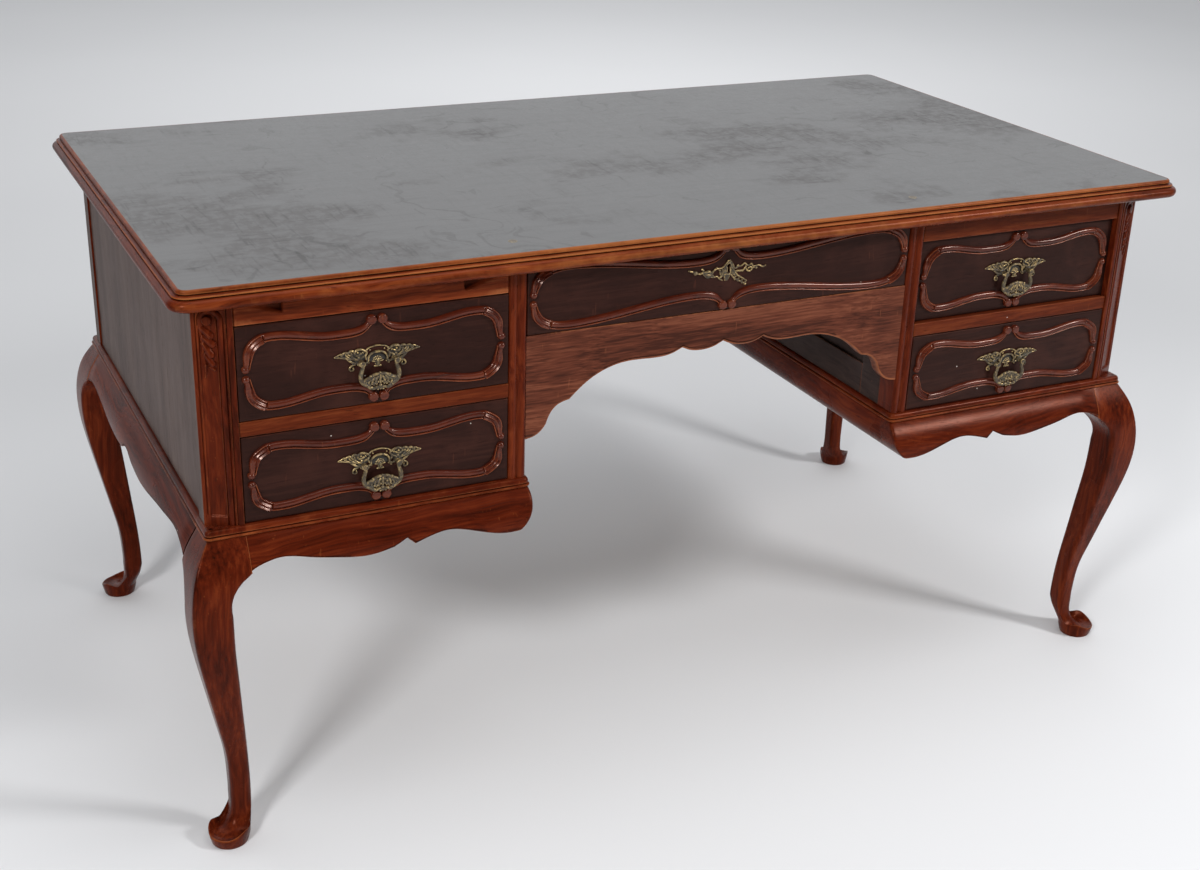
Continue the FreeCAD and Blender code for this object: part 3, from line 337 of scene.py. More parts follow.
def leathercloth():
    b = Bench("leathercloth")
    grain = b.cells(b.place, 900.0)["Distance"]
    cloud = b.noise(b.place, 3.2, 4.0, 0.62)
    speckle = b.noise(b.place, 260.0, 3.0, 0.7)
    fine = b.noise(b.place, 55.0, 4.0, 0.7)
    across = b.noise(b.stretched(b.place, (1.0, 0.07, 1.0)), 150.0, 2.0, 0.6)
    along = b.noise(b.stretched(b.place, (0.07, 1.0, 1.0)), 130.0, 2.0, 0.6)
    island = b.noise(b.stretched(b.place, (1.0, 1.25, 1.0)), 3.1, 4.0, 0.6).above(0.50, 0.62)
    colour = b.add("ShaderNodeValToRGB", {"stops": [(0.37, (0.024, 0.0225, 0.0225)), (0.5, (0.050, 0.048, 0.048)),
                                                    (0.63, (0.088, 0.084, 0.084))]},
                   {0: cloud * 0.2 + fine * 0.3 + speckle * 0.3 + along * 0.2})["Color"]
    rubbed = island * (0.35 + 0.65 * fine.above(0.40, 0.58))
    colour = b.blend(rubbed * 0.40, colour, (0.026, 0.0175, 0.0150))
    lines = (0.25 + island * 0.75) * (across.above(0.58, 0.66).most(along.above(0.60, 0.68)))
    colour = b.blend(lines * 0.45, colour, (0.014, 0.011, 0.010))
    pale = b.noise(b.stretched(b.place, (1.0, 2.0, 1.0)), 12.0, 5.0, 0.75).above(0.58, 0.70)
    colour = b.blend(pale * 0.16, colour, (0.11, 0.10, 0.095))
    bend = b.noise(b.place, 8.0, 2.0)
    curved = b.shifted(b.place, bend * 0.25, bend * -0.2)
    hair = b.noise(b.stretched(curved, (1.0, 0.1, 1.0)), 60.0, 1.0).above(0.68, 0.71)
    slant = b.noise(b.stretched(curved, (0.12, 1.0, 1.0)), 75.0, 1.0).above(0.68, 0.71)
    hair = hair.most(slant) * b.noise(b.place, 5.0, 2.0).above(0.44, 0.54)
    colour = b.blend(hair * 0.75, colour, (0.012, 0.009, 0.008))
    mark = b.cells(b.place, 17.0)
    chosen = b.add("ShaderNodeSeparateColor", {}, {0: mark["Color"]})
    dot = (1 - mark["Distance"].above(0.04, 0.07)) * chosen["Red"].above(0.74, 0.76)
    colour = b.blend(dot * 0.9, colour, (0.010, 0.008, 0.007))
    light = (1 - mark["Distance"].above(0.018, 0.032)) * chosen["Green"].above(0.92, 0.94)
    colour = b.blend(light * 0.8, colour, (0.34, 0.30, 0.26))
    dull = 0.35 + (cloud - 0.5) * 0.14 + rubbed * 0.09 + lines * 0.06 + (fine - 0.5) * 0.20 + (speckle - 0.5) * 0.22
    relief = b.height(grain, 0.10, 0.22)
    relief = b.height(fine, 0.5, 0.12, relief)
    return b.finish(Base_Color=colour, Roughness=dull.held(), Normal=relief, Specular_IOR_Level=0.86)


LEATHERCLOTH = leathercloth()
print("materials so far:", len(bpy.data.materials))

# %% [markdown]
# ## Dressing the solids that stay
# Boards, runners and drawer boxes are right as they come, so they only get a finish, chosen by the kind of
# wood each is made of.

# %% Finishes on the frame's own solids
FINISH_OF_SLOT = {"writing_top": LEATHERCLOTH, "mahogany": MAHOGANY["z"], "drawer_wood": DRAWER_WOOD,
                  "rail_wood": RAIL_WOOD, "apron_wood": APRON_WOOD, "panel_wood": PANEL_WOOD,
                  "case_wood": CASE_WOOD, "box_wood": BOX_WOOD, "brass": BRASS, "plug_brass": PLUG_BRASS,
                  "lock_iron": IRON}
SLOT_OF_NODE = {row["node"]: row["material_slot"] for row in frame["record"]["subparts"]}


for node in NODES:
    NODES[node].data.materials.clear()
    NODES[node].data.materials.append(FINISH_OF_SLOT[SLOT_OF_NODE.get(node, "mahogany")])
print("solids with a finish:", len(NODES), "slots known:", len(SLOT_OF_NODE))

# %% [markdown]
# ## Lines and rows
# Most of the desk is mouldings, sawn curves and turned-under boards. They have one thing in common: each is
# a line carried along another line. So the shapes here are rows of points, in millimetres, and a small class
# stitches rows into faces. It also notes how sharply every spot is bent, because that is where polish wears
# off (outward corners) and where grime and painted shade go (inward ones).

# %% Smooth lines
def smooth_line(points, step=1.0):
    """A curve through the points that bends evenly, cut into steps."""
    p = np.asarray(points, float)
    run = np.r_[0.0, np.cumsum(np.linalg.norm(np.diff(p, axis=0), axis=1))]
    n, gap = len(p), np.diff(run)
    if n == 2:
        return even(p, step)
    table, known = np.zeros((n, n)), np.zeros_like(p)
    table[0, 0] = table[-1, -1] = 1.0
    for i in range(1, n - 1):
        table[i, i - 1:i + 2] = gap[i - 1], 2 * (gap[i - 1] + gap[i]), gap[i]
        known[i] = 6 * ((p[i + 1] - p[i]) / gap[i] - (p[i] - p[i - 1]) / gap[i - 1])
    bend = np.linalg.solve(table, known)
    at = np.linspace(0.0, run[-1], max(3, int(round(run[-1] / step)) + 1))
    k = np.clip(np.searchsorted(run, at, side="right") - 1, 0, n - 2)
    h, a, b = gap[k][:, None], (run[k + 1] - at)[:, None], (at - run[k])[:, None]
    return ((bend[k] * a ** 3 + bend[k + 1] * b ** 3) / (6 * h) + (p[k] / h - bend[k] * h / 6) * a
            + (p[k + 1] / h - bend[k + 1] * h / 6) * b)


def even(points, step):
    """The same line in steps of one length."""
    p = np.asarray(points, float)
    run = np.r_[0.0, np.cumsum(np.linalg.norm(np.diff(p, axis=0), axis=1))]
    at = np.linspace(0.0, run[-1], max(2, int(math.ceil(run[-1] / step)) + 1))
    return np.stack([np.interp(at, run, p[:, i]) for i in range(p.shape[1])], 1)


def sawn_line(runs, step):
    """Smooth runs that meet in sharp points, as a saw follows a drawn line."""
    parts = [even(smooth_line(run, 0.5) if len(run) > 2 else run, step) for run in runs]
    return np.concatenate([parts[0]] + [part[1:] for part in parts[1:]])


def arc_through(first, middle, last, count=12):
    """Points on the circle through three points."""
    (ax, ay), (bx, by), (cx, cy) = first, middle, last
    d = 2 * (ax * (by - cy) + bx * (cy - ay) + cx * (ay - by))
    a2, b2, c2 = ax * ax + ay * ay, bx * bx + by * by, cx * cx + cy * cy
    centre = np.array([(a2 * (by - cy) + b2 * (cy - ay) + c2 * (ay - by)) / d,
                       (a2 * (cx - bx) + b2 * (ax - cx) + c2 * (bx - ax)) / d])
    turn = [math.atan2(p[1] - centre[1], p[0] - centre[0]) for p in (first, middle, last)]
    for i in (1, 2):
        while turn[i] - turn[i - 1] > math.pi:
            turn[i] -= 2 * math.pi
        while turn[i] - turn[i - 1] < -math.pi:
            turn[i] += 2 * math.pi
    at = np.linspace(turn[0], turn[2], count)
    radius = math.hypot(ax - centre[0], ay - centre[1])
    return np.stack([centre[0] + radius * np.cos(at), centre[1] + radius * np.sin(at)], 1)


def quarter_round(first, last, count=8):
    """A quarter of an ellipse that leaves the first point level and comes into the last one plumb."""
    at = np.linspace(0.0, math.pi / 2, count)
    return np.stack([first[0] + (last[0] - first[0]) * np.sin(at), last[1] + (first[1] - last[1]) * np.cos(at)], 1)


def soft(value, low, high):
    """0 below low, 1 above high, smooth between, for numbers."""
    t = np.clip((np.asarray(value, float) - low) / (high - low), 0.0, 1.0)
    return t * t * (3 - 2 * t)


print("a quarter round has", len(quarter_round((0, 0), (4, -4))), "points")

# %% [markdown]
# ## From rows to a piece
# `Form` keeps the points and faces of one piece. `net` stitches rows, `board` makes a board with softened
# edges, `dome` a rounded lump, and `carry` takes a finished corner to another corner of the desk.

# %% The form class
class Form:
    def __init__(self):
        self.points, self.faces, self.marks, self.worn, self.count = [], [], [], [], 0

    # worn is added to each point's rub value: above 0 it lightens as wear (on the top moulding's front partly as
    # painted highlight), below 0 it darkens as painted shade.
    def put(self, points, faces, mark=0, worn=0.0):
        points, faces = np.asarray(points, float).reshape(-1, 3), np.asarray(faces, int)
        self.points.append(points)
        self.worn.append(np.broadcast_to(np.asarray(worn, float).reshape(-1), (len(points),)).copy())
        self.faces.append(faces + self.count)
        self.marks.append(np.full(len(faces), mark))
        self.count += len(points)

    def net(self, rows, around=False, caps=False, mark=0, worn=0.0):
        """Rows of points stitched into four-sided faces; caps closes the first and last row."""
        rows = np.asarray(rows, float)
        n, m = rows.shape[:2]
        index = np.arange(n * m).reshape(n, m)
        here, after = (index, np.roll(index, -1, 1)) if around else (index[:, :-1], index[:, 1:])
        faces = np.stack([here[:-1], after[:-1], after[1:], here[1:]], -1).reshape(-1, 4)
        worn = np.broadcast_to(np.asarray(worn, float), (n, m)).reshape(-1)
        self.put(rows.reshape(-1, 3), faces, mark, worn)
        if caps:
            for ring in (rows[0], rows[-1]):
                self.net([ring, np.broadcast_to(ring.mean(0), ring.shape)], around=True, mark=mark)

    def board(self, low, high, edge=1.0, mark=0, near=3.0, step=28.0):
        """A board between two corners, its edges rounded."""
        low, high = np.minimum(low, high).astype(float), np.maximum(low, high).astype(float)
        edge = min(edge, 0.45 * float((high - low).min()))
        lines = []
        for a, b in zip(low, high):
            start, stop = [a, a + 0.45 * edge, a + edge], [b - edge, b - 0.45 * edge, b]
            if b - a > 2 * (edge + near) + 2:
                count = max(2, int((b - a) / step) + 1)
                inside = list(np.linspace(a + edge + near, b - edge - near, count))
            else:
                inside = [(a + b) / 2]
            lines.append(np.array(start + inside + stop))
        for axis in range(3):
            u, v = [i for i in range(3) if i != axis]
            for value in (low[axis], high[axis]):
                grid = np.zeros((len(lines[u]), len(lines[v]), 3))
                grid[..., u], grid[..., v], grid[..., axis] = lines[u][:, None], lines[v][None, :], value
                core = np.clip(grid, low + edge, high - edge)
                out = grid - core
                size = np.linalg.norm(out, axis=-1, keepdims=True)
                self.net(core + edge * out / np.maximum(size, 1e-9), mark=mark)

    def dome(self, centre, radius, height, facing=(0, -1, 0), shape=None, sides=24, mark=0):
        """A turned knob on a face: shape gives (share of the radius, share of the height) from rim to top."""
        out = np.array(facing, float)
        side = np.cross(out, (0, 0, 1)) if abs(out[2]) < 0.9 else np.array([1.0, 0, 0])
        side /= np.linalg.norm(side)
        up = np.cross(side, out)
        if shape is None:
            turn = np.linspace(0, math.pi / 2, 8)
            shape = np.stack([np.cos(turn), np.sin(turn)], 1)
        angle = np.linspace(0, 2 * math.pi, sides, endpoint=False)
        ring = np.cos(angle)[:, None] * side + np.sin(angle)[:, None] * up
        rows = [np.array(centre) + ring * max(r, 0.002) * radius + out * h * height for r, h in shape]
        self.net(rows, around=True, mark=mark)

    def carry(self, mirror, shift=(0, 0, 0)):
        """Every point moved by shift, then mirrored where mirror holds -1."""
        self.points = [(points + np.array(shift)) * np.array(mirror) for points in self.points]

    def make(self, name, body, stands_for, materials, weld=0.004, sharp=38.0, wear=3.0):
        mesh = bpy.data.meshes.new(name)
        points, faces = np.concatenate(self.points) * MM, np.concatenate(self.faces)
        mesh.vertices.add(len(points))
        mesh.vertices.foreach_set("co", points.reshape(-1))
        mesh.loops.add(faces.size)
        mesh.loops.foreach_set("vertex_index", faces.reshape(-1))
        mesh.polygons.add(len(faces))
        mesh.polygons.foreach_set("loop_start", np.arange(len(faces)) * 4)
        mesh.polygons.foreach_set("material_index", np.concatenate(self.marks))
        mesh.attributes.new("rub", "FLOAT", "POINT").data.foreach_set("value", np.concatenate(self.worn))
        mesh.update(calc_edges=True)
        tidy_mesh(mesh, weld * MM)
        return settle(mesh, name, body, stands_for, materials, sharp, wear)


def inside_out(mesh):
    """Faces of those separate shells whose normals point inwards."""
    ends = np.empty(len(mesh.edges) * 2, int)
    mesh.edges.foreach_get("vertices", ends)
    a, b = ends.reshape(-1, 2).T
    shell = np.arange(len(mesh.vertices))
    while True:
        low = np.minimum(shell[a], shell[b])
        joined = shell.copy()
        np.minimum.at(joined, a, low)
        np.minimum.at(joined, b, low)
        joined = joined[joined]
        if (joined == shell).all():
            break
        shell = joined
    count = len(mesh.polygons)
    centre, normal, area, first = np.empty(count * 3), np.empty(count * 3), np.empty(count), np.empty(count, int)
    mesh.polygons.foreach_get("center", centre)
    mesh.polygons.foreach_get("normal", normal)
    mesh.polygons.foreach_get("area", area)
    mesh.polygons.foreach_get("loop_start", first)
    corner = np.empty(len(mesh.loops), int)
    mesh.loops.foreach_get("vertex_index", corner)
    of_face, centre, normal = shell[corner[first]], centre.reshape(-1, 3), normal.reshape(-1, 3)
    total = np.bincount(of_face, area, len(shell)) + 1e-12
    middle = np.stack([np.bincount(of_face, area * centre[:, i], len(shell)) / total for i in range(3)], 1)
    outward = area * ((centre - middle[of_face]) * normal).sum(1)
    return np.nonzero(np.bincount(of_face, outward, len(shell))[of_face] < 0)[0]


def tidy_mesh(mesh, weld):
    work = bmesh.new()
    work.from_mesh(mesh)
    bmesh.ops.remove_doubles(work, verts=work.verts, dist=weld)
    bmesh.ops.dissolve_degenerate(work, edges=work.edges, dist=weld * 0.5)
    bmesh.ops.recalc_face_normals(work, faces=work.faces)
    work.to_mesh(mesh)
    wrong = inside_out(mesh)
    if len(wrong):
        work.faces.ensure_lookup_table()
        bmesh.ops.reverse_faces(work, faces=[work.faces[i] for i in wrong])
        work.to_mesh(mesh)
    work.free()


def bent_outward(mesh):
    """How sharply the mesh is bent at each point, in 1/mm: above 0 on ridges, below 0 in hollows."""
    n = len(mesh.vertices)
    place, normal = np.empty(n * 3), np.empty(n * 3)
    mesh.vertices.foreach_get("co", place)
    mesh.vertices.foreach_get("normal", normal)
    place, normal = place.reshape(-1, 3) / MM, normal.reshape(-1, 3)
    ends = np.empty(len(mesh.edges) * 2, int)
    mesh.edges.foreach_get("vertices", ends)
    a, b = ends.reshape(-1, 2).T
    step = place[a] - place[b]
    size2 = np.maximum((step ** 2).sum(1), 0.02)
    bend, touched = np.zeros(n), np.zeros(n)
    np.add.at(bend, a, (normal[a] * step).sum(1) / size2)
    np.add.at(bend, b, -(normal[b] * step).sum(1) / size2)
    np.add.at(touched, a, 1)
    np.add.at(touched, b, 1)
    bend /= np.maximum(touched, 1)
    near = np.zeros(n)
    np.add.at(near, a, bend[b])
    np.add.at(near, b, bend[a])
    return 0.6 * bend + 0.4 * near / np.maximum(touched, 1)


PIECES = []


def settle(mesh, name, body, stands_for, materials, sharp, wear):
    mesh.shade_smooth()
    mesh.set_sharp_from_angle(angle=math.radians(sharp))
    given = np.zeros(len(mesh.vertices))
    rub = mesh.attributes["rub"]
    rub.data.foreach_get("value", given)
    # Curvature adds to the rub value: ridges wear light, and hollows get grime and painted shade.
    rub.data.foreach_set("value", np.clip(bent_outward(mesh) * wear, -1.0, 1.0) + given)
    number = (zlib.crc32(name.encode()) % 997) / 997.0
    mesh.attributes.new("board", "FLOAT", "POINT").data.foreach_set("value", np.full(len(mesh.vertices), number))
    for material in materials:
        mesh.materials.append(material)
    piece = bpy.data.objects.new(name, mesh)
    bpy.context.scene.collection.objects.link(piece)
    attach(piece, body)
    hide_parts(*stands_for)
    PIECES.append(name)
    return piece


print("forms ready")

# %% [markdown]
# ## The desk's own measures
# These are the same numbers that the solids were made from, in millimetres. A piece that is drawn from them
# lies where its solid lies, so nothing has to be fitted by eye.

# %% Measures
CASE_X, CASE_Y = 716.0, 372.0                  # half width and half depth of the case
SURFACE_X, SURFACE_Y, SURFACE_CORNER = 734.5, 397.5, 10.0   # the writing surface, halved, and its corner's radius
TOP_SURFACE, TOP_UNDER, BASE_TOP, BASE_UNDER = 780.0, 755.0, 460.0, 446.0
KNEEHOLE, BAY_IN, BAY_OUT = 293.0, 317.0, 670.0     # half the kneehole, and a drawer bay's two sides
FRONT_Y, FRONT_BACK, RAIL_BACK = -370.0, -350.0, -330.0     # face and back of the fronts, back of the rails
POST = 46.0                                         # a corner post's side
APRON_LOW, RISE, BOARD = 393.0, 24.0, 20.0          # an apron's lowest level, its scallop's rise, its thickness
APRON_START, APRON_BACK = 303.0, -352.0             # where a front apron's straight run starts, and its back
APRON_RUN = BAY_OUT - APRON_START
SIDE_RUN, INNER_RUN = 326.0, 352.0                  # half lengths of the outer and inner side aprons
FACE_IN, FACE_OUT = 318.0, 669.0                    # the two ends of a pedestal drawer's front, and of the slide's
CENTRE_LOW, KEYHOLE_Z = 657.0, 720.0                # under the centre drawer, and the middle of the keyhole
SIDES = (("left", -1), ("right", 1))
FACES = (("front", -1), ("back", 1))


def wander(length, count, size, seed):
    """Slow uneven drift along a length, as hand planing leaves it."""
    source = np.random.default_rng(seed)
    knots = source.normal(0, size, max(4, int(length / 90)))
    return np.interp(np.linspace(0, 1, count), np.linspace(0, 1, len(knots)), knots)


print("case:", 2 * CASE_X, "x", 2 * CASE_Y, "mm")

# %% [markdown]
# ## The moulding round the top
# The top's edge was run with moulding planes: a small thumb next to the writing surface, a flat band, and a
# big half-round nose. It could be made with a bevel modifier, but a bevel can't hold the little square
# quirks between the rounds. Carrying the drawn profile round the top can, and the four mitred lengths get
# their own grain directions.

# %% Top moulding
def top_profile():
    """(reach from the surface's edge, drop from the surface) of the moulding, from the surface down."""
    nose = arc_through((8.3, 10.6), (15.5, 17.8), (8.3, 25.0), 20)
    return np.concatenate([
        [(-1.2, 1.2), (-0.5, 0.5)], even([(-0.1, 0.05), (0.5, 0.0)], 0.6), quarter_round((0.9, 0.0), (4, 4), 7)[1:],
        even([(3.9, 4.5), (2.8, 5.3)], 0.8), [(2.9, 5.9), (3.6, 6.3)], quarter_round((4.4, 6.4), (9, 8.2), 7),
        [(9.0, 8.7), (8.3, 9.4), (7.3, 9.8), (7.2, 10.2)], nose, [(5, 25.0), (-10, 25.0), (-44.5, 25.0)]])


def rounded_ring(half_x, half_y, corner, along=9.0, turn=11):
    """Stations round a rectangle, from the right end of its front: place, outward direction, corner radius."""
    stops = []
    for cx, cy, first in ((1, -1, -90), (1, 1, 0), (-1, 1, 90), (-1, -1, 180)):
        for angle in np.radians(np.linspace(first, first + 90, turn)):
            stops.append((cx * (half_x - corner), cy * (half_y - corner), math.cos(angle), math.sin(angle), corner))
    stations = []
    for a, b in zip(stops, stops[1:] + stops[:1]):
        stations.append(a)
        gap = math.hypot(b[0] - a[0], b[1] - a[1])
        for share in np.linspace(0, 1, max(1, int(gap / along)) + 1)[1:-1]:
            stations.append(tuple(np.array(a) + (np.array(b) - np.array(a)) * share))
    return np.array(stations)


def top_moulding():
    ring = rounded_ring(SURFACE_X, SURFACE_Y, SURFACE_CORNER)
    profile = top_profile()
    rows = []
    drift = wander(4600, len(ring), 0.16, 5)        # the moulding is about 4600 mm round
    for reach, drop in profile:
        spread = max(SURFACE_CORNER + reach, 0.6)
        shrink = (SURFACE_CORNER + reach) - spread
        x = ring[:, 0] + ring[:, 2] * spread + np.sign(ring[:, 0]) * shrink * (np.abs(ring[:, 2]) > 1e-3)
        y = ring[:, 1] + ring[:, 3] * spread + np.sign(ring[:, 1]) * shrink * (np.abs(ring[:, 3]) > 1e-3)
        wave = drift * soft(reach, 3, 9)
        rows.append(np.stack([x - ring[:, 2] * np.abs(wave), y - ring[:, 3] * np.abs(wave),
                              np.full(len(ring), TOP_SURFACE - drop)], 1))
    form = Form()
    rubbed = np.array([0.08 * (drop < 4.3) + 0.05 * (6.0 < drop < 8.3) + 0.05 * (13 < drop < 20)
                       for _, drop in profile])
    # Along the front's middle and near its right end, wear is raised and the whole profile lightened: rubbed polish,
    # with a painted highlight there too.
    front = np.exp(-(ring[:, 0] / 420.0) ** 2) * (ring[:, 1] < 0)
    front = front + 0.45 * np.exp(-((ring[:, 0] - 560) / 120.0) ** 2) * (ring[:, 1] < 0)
    form.net(rows, around=True, worn=rubbed[:, None] * (1 + 1.5 * front[None, :]) + 0.17 * front[None, :])
    piece = form.make("top_edge_moulding", "root", ["top_moulding"], [EDGE_WOOD, MAHOGANY["y"]],
                      wear=2.6)
    for face in piece.data.polygons:
        x, y, _ = face.center
        face.material_index = 1 if abs(x) - SURFACE_X * MM > abs(y) - SURFACE_Y * MM else 0


top_moulding()
print("top moulding faces:", len(bpy.data.meshes["top_edge_moulding"].polygons))

# %% [markdown]
# ## Cabriole legs
# A cabriole leg is sawn from a square block along the same S-shaped line on two faces, then rounded with a
# spokeshave. So every level cut through it is a square with softened corners, and the leg is those squares
# stacked up. The spoon foot is a bowl: below the ankle the rows run out over a hollow to a thin rim.

# %% Legs
def leg_lines():
    outer = [(3.5, BASE_UNDER)] + [(-8 + 41 * r, BASE_UNDER * h) for h, r in (
        (.94, .67), (.875, .90), (.80, 1.0), (.715, .97), (.615, .80), (.48, .50), (.36, .23), (.27, .05),
        (.19, 0), (.115, .02), (.07, .17), (.05, .36))] + [(27, 17)]
    inner = [(-18 - 18 * d, BASE_UNDER * h) for h, d in (
        (.785, 0), (.68, .07), (.545, .34), (.41, .62), (.29, .87), (.18, 1), (.11, .98), (0, .62))]
    ear = [(-POST, 403.6), (-24.3, 383.6), (-17.6, 365.7), (-18, 350.1)]
    return smooth_line(outer, 2)[::-1], np.concatenate([smooth_line(ear, 2)[:-1], smooth_line(inner, 2)])[::-1]


def soft_square(low, high, radii, corner=7, side=5):
    """A square from low to high both ways; its four corners start at the outer one."""
    ring = []
    for (cu, cv), radius, first in zip(((1, 1), (-1, 1), (-1, -1), (1, -1)), radii, (0, 90, 180, 270)):
        mu = (high - radius) if cu > 0 else (low + radius)
        mv = (high - radius) if cv > 0 else (low + radius)
        for angle in np.radians(np.linspace(first, first + 90, corner)):
            ring.append((mu + radius * math.cos(angle), mv + radius * math.sin(angle)))
    full = []
    for k in range(4):
        here = ring[k * corner:(k + 1) * corner]
        full += here
        a, b = np.array(here[-1]), np.array(ring[((k + 1) * corner) % (4 * corner)])
        full += [tuple(a + (b - a) * s) for s in np.linspace(0, 1, side + 2)[1:-1]]
    return np.array(full)


# The foot's lines as (share of the way to its rim, height). Under the leg's outer side, heights up to 0 are
# counted from the rim.
BOWL_OUT = [(0, 50), (0, 42), (.03, 35), (.09, 28), (.2, 21), (.36, 15.5), (.54, 13.2), (.72, 13),
            (.86, -2.2), (.945, -.35), (.98, 0), (1, -.9)]
BOWL_IN = [(.08, 54), (.2, 47), (.34, 41), (.48, 36), (.6, 32), (.7, 28.5), (.79, 25.5), (.86, 23),
           (.92, 20.5), (.965, 18.5), (.99, 17.3), (1, 16)]
RING = 48                                           # points round a leg: 7 on each corner, 5 on each side


def leg_rows():
    """Level cuts through a leg; the last rows turn in under the foot."""
    outer, inner = leg_lines()
    rows = []
    for z in np.r_[np.linspace(BASE_UNDER, 404, 12), np.linspace(402, 350, 16), np.linspace(346, 60, 58)]:
        high, low = np.interp(z, outer[:, 1], outer[:, 0]), np.interp(z, inner[:, 1], inner[:, 0])
        arris = float(np.interp(z, [60, 120, 300, 400, BASE_UNDER], [9.0, 6.0, 5.0, 4.0, 1.0]))
        side = float(np.interp(z, [60, 120, 300, 395, 405, BASE_UNDER], [9.0, 7.0, 7.0, 5.0, 1.2, 1.0]))
        rows.append(np.c_[soft_square(low, high, (arris, side, 5.0, side)), np.full(RING, z)])
    start, middle = rows[-1][:, :2], np.array([-1.0, -1.0])
    angle = np.radians(45 + (np.arange(RING) - 3) * 360.0 / RING)
    off = np.degrees(np.abs((angle - math.radians(45) + math.pi) % (2 * math.pi) - math.pi))
    away = np.stack([np.cos(angle), np.sin(angle)], 1)
    back = soft(off, 75, 125)[:, None]
    rim_z = (15.5 + 10.5 * soft(off, 20, 100))[:, None]
    foot = 27.7
    rim = middle + away * foot
    for (g_out, z_out), (g_in, z_in) in zip(BOWL_OUT, BOWL_IN):
        if z_out <= 0:
            z_out = rim_z + z_out
        share = g_out * (1 - back) + g_in * back
        level = z_out * (1 - back) + z_in * back
        rows.append(np.c_[start + (rim - start) * share, np.broadcast_to(level, (RING, 1))])
    for radius, z in ((27.5, .80), (26.4, .5), (25.2, .25), (24.5, .1), (24.1, .03)):
        rows.append(np.c_[middle + away * radius, rows[-1][:, 2:] * 0 + (rim_z * (1 - back) + 16 * back) * z])
    rows.append(np.c_[middle + away * 23.6, np.zeros((RING, 1))])
    return np.array(rows)


def base_profile():
    """(reach from the case's face, height) of the small moulding on the pedestals, from its top down."""
    return np.concatenate([[(-6, 460), (-1.5, 460.0), (0.3, 459.9)], quarter_round((0.8, 459.7), (4.7, 453.5), 8),
                           even([(4.6, 453.0), (3.6, 452.3)], .6), [(3.7, 451.6)],
                           arc_through((4.7, 451.3), (6.5, 449.5), (4.7, 447.7), 9), [(4.1, 447.2), (3.5, 446.4),
                                                                                     (3.3, 446.0), (-6, 446.0)]])


def moulding_run(form, stations, profile, mark=0, worn=0.0):
    """The profile carried along stations of (x, y, outward x, outward y)."""
    s = np.asarray(stations, float)
    rows = [np.stack([s[:, 0] + s[:, 2] * reach, s[:, 1] + s[:, 3] * reach, np.full(len(s), z)], 1)
            for reach, z in profile]
    form.net(rows, mark=mark, worn=worn)


def cap_stations():
    """Round the two outer faces of a leg's block, in reach out of the case's corner."""
    first = [(-POST + 43 * t, 0, 0, 1) for t in np.linspace(0, 1, 8)]
    turn = [(math.cos(a), math.sin(a)) for a in np.radians(np.linspace(90, 0, 7))]
    corner = [(-2.5 + 2.5 * nu, -2.5 + 2.5 * nv, nu, nv) for nu, nv in turn]
    return first + corner + [(v, u, nv, nu) for u, v, nu, nv in first[::-1]]


def cabriole_leg(sx, sy, name):
    form = Form()
    form.net(leg_rows(), around=True, caps=True)
    moulding_run(form, cap_stations(), base_profile())
    block = [(-POST, -POST), (-POST, 0.6), (0.6, 0.6), (0.6, -POST)]
    form.put([(u, v, z) for z in (459.6, BASE_UNDER) for u, v in block],
             [(0, 1, 2, 3), (4, 7, 6, 5), (0, 4, 5, 1), (0, 3, 7, 4)])
    form.carry((sx, sy, 1), (CASE_X, CASE_Y, 0))
    form.make("cabriole_" + name, "root", [name], [MAHOGANY["z"]], wear=2.6, sharp=50)


for side_name, sx in SIDES:
    for face_name, sy in FACES:
        cabriole_leg(sx, sy, "leg_%s_%s" % (face_name, side_name))
print("legs:", [p for p in PIECES if "cabriole" in p])

# %% [markdown]
# ## Swelling aprons
# Under each pedestal runs an apron that swells outward as it goes down and ends in a sawn, scalloped edge.
# Towards the kneehole it turns the corner and tucks under instead. Each apron is a set of level lines from
# its top to its sawn edge: the lines sit closer together where the scallop rises, so the edge stays clean.

# %% Aprons
def front_edge():
    at = lambda share, rise: (KNEEHOLE + share * (BAY_OUT - KNEEHOLE), APRON_LOW + rise * RISE)
    return sawn_line([[(269, APRON_LOW + 12), at(-.01, .16), at(.06, .04), at(.15, .25), at(.24, .62), at(.33, .85),
                       at(.39, .67), at(.433, .44)], [at(.433, .44), at(.47, .83)], [at(.47, .83), at(.51, .46)],
                      [at(.51, .46), at(.58, .25), at(.70, .42), at(.81, .75), at(.90, 1.0), at(.96, .83),
                       at(1, .58), (675, APRON_LOW + .45 * RISE)]], 2.6)


def side_edge():
    at = lambda share, rise: (share * SIDE_RUN, APRON_LOW + rise * RISE)
    return sawn_line([[at(-1.01, .56), at(-.86, 1.08), at(-.68, .96), at(-.42, .50), at(-.14, .08), at(0, .29)],
                      [at(0, .29), at(.06, .54), at(.14, .54), at(.20, .17)],
                      [at(.20, .17), at(.34, .04), at(.60, .42), at(.82, .75), at(.94, .67), at(1.01, .40)]], 3.0)


SWELL = arc_through((3.5, BASE_UNDER), (19.68, 422.15), (24, APRON_LOW), 60)[::-1]
TUCK = arc_through((3.5, BASE_UNDER), (4.5, 423.74), (-16, APRON_LOW), 60)[::-1]
swell = lambda z: np.interp(z, SWELL[:, 1], SWELL[:, 0])
tuck = lambda z: np.interp(z, TUCK[:, 1], TUCK[:, 0])
DOWN = np.r_[0, .03, np.linspace(.08, .93, 15), .965]           # shares of an apron's height that get a line
ARRIS = ((0.0, 1.6), (0.12, 0.9), (0.55, 0.3), (1.5, 0.0))      # (inset, lift) of its softened lower edge


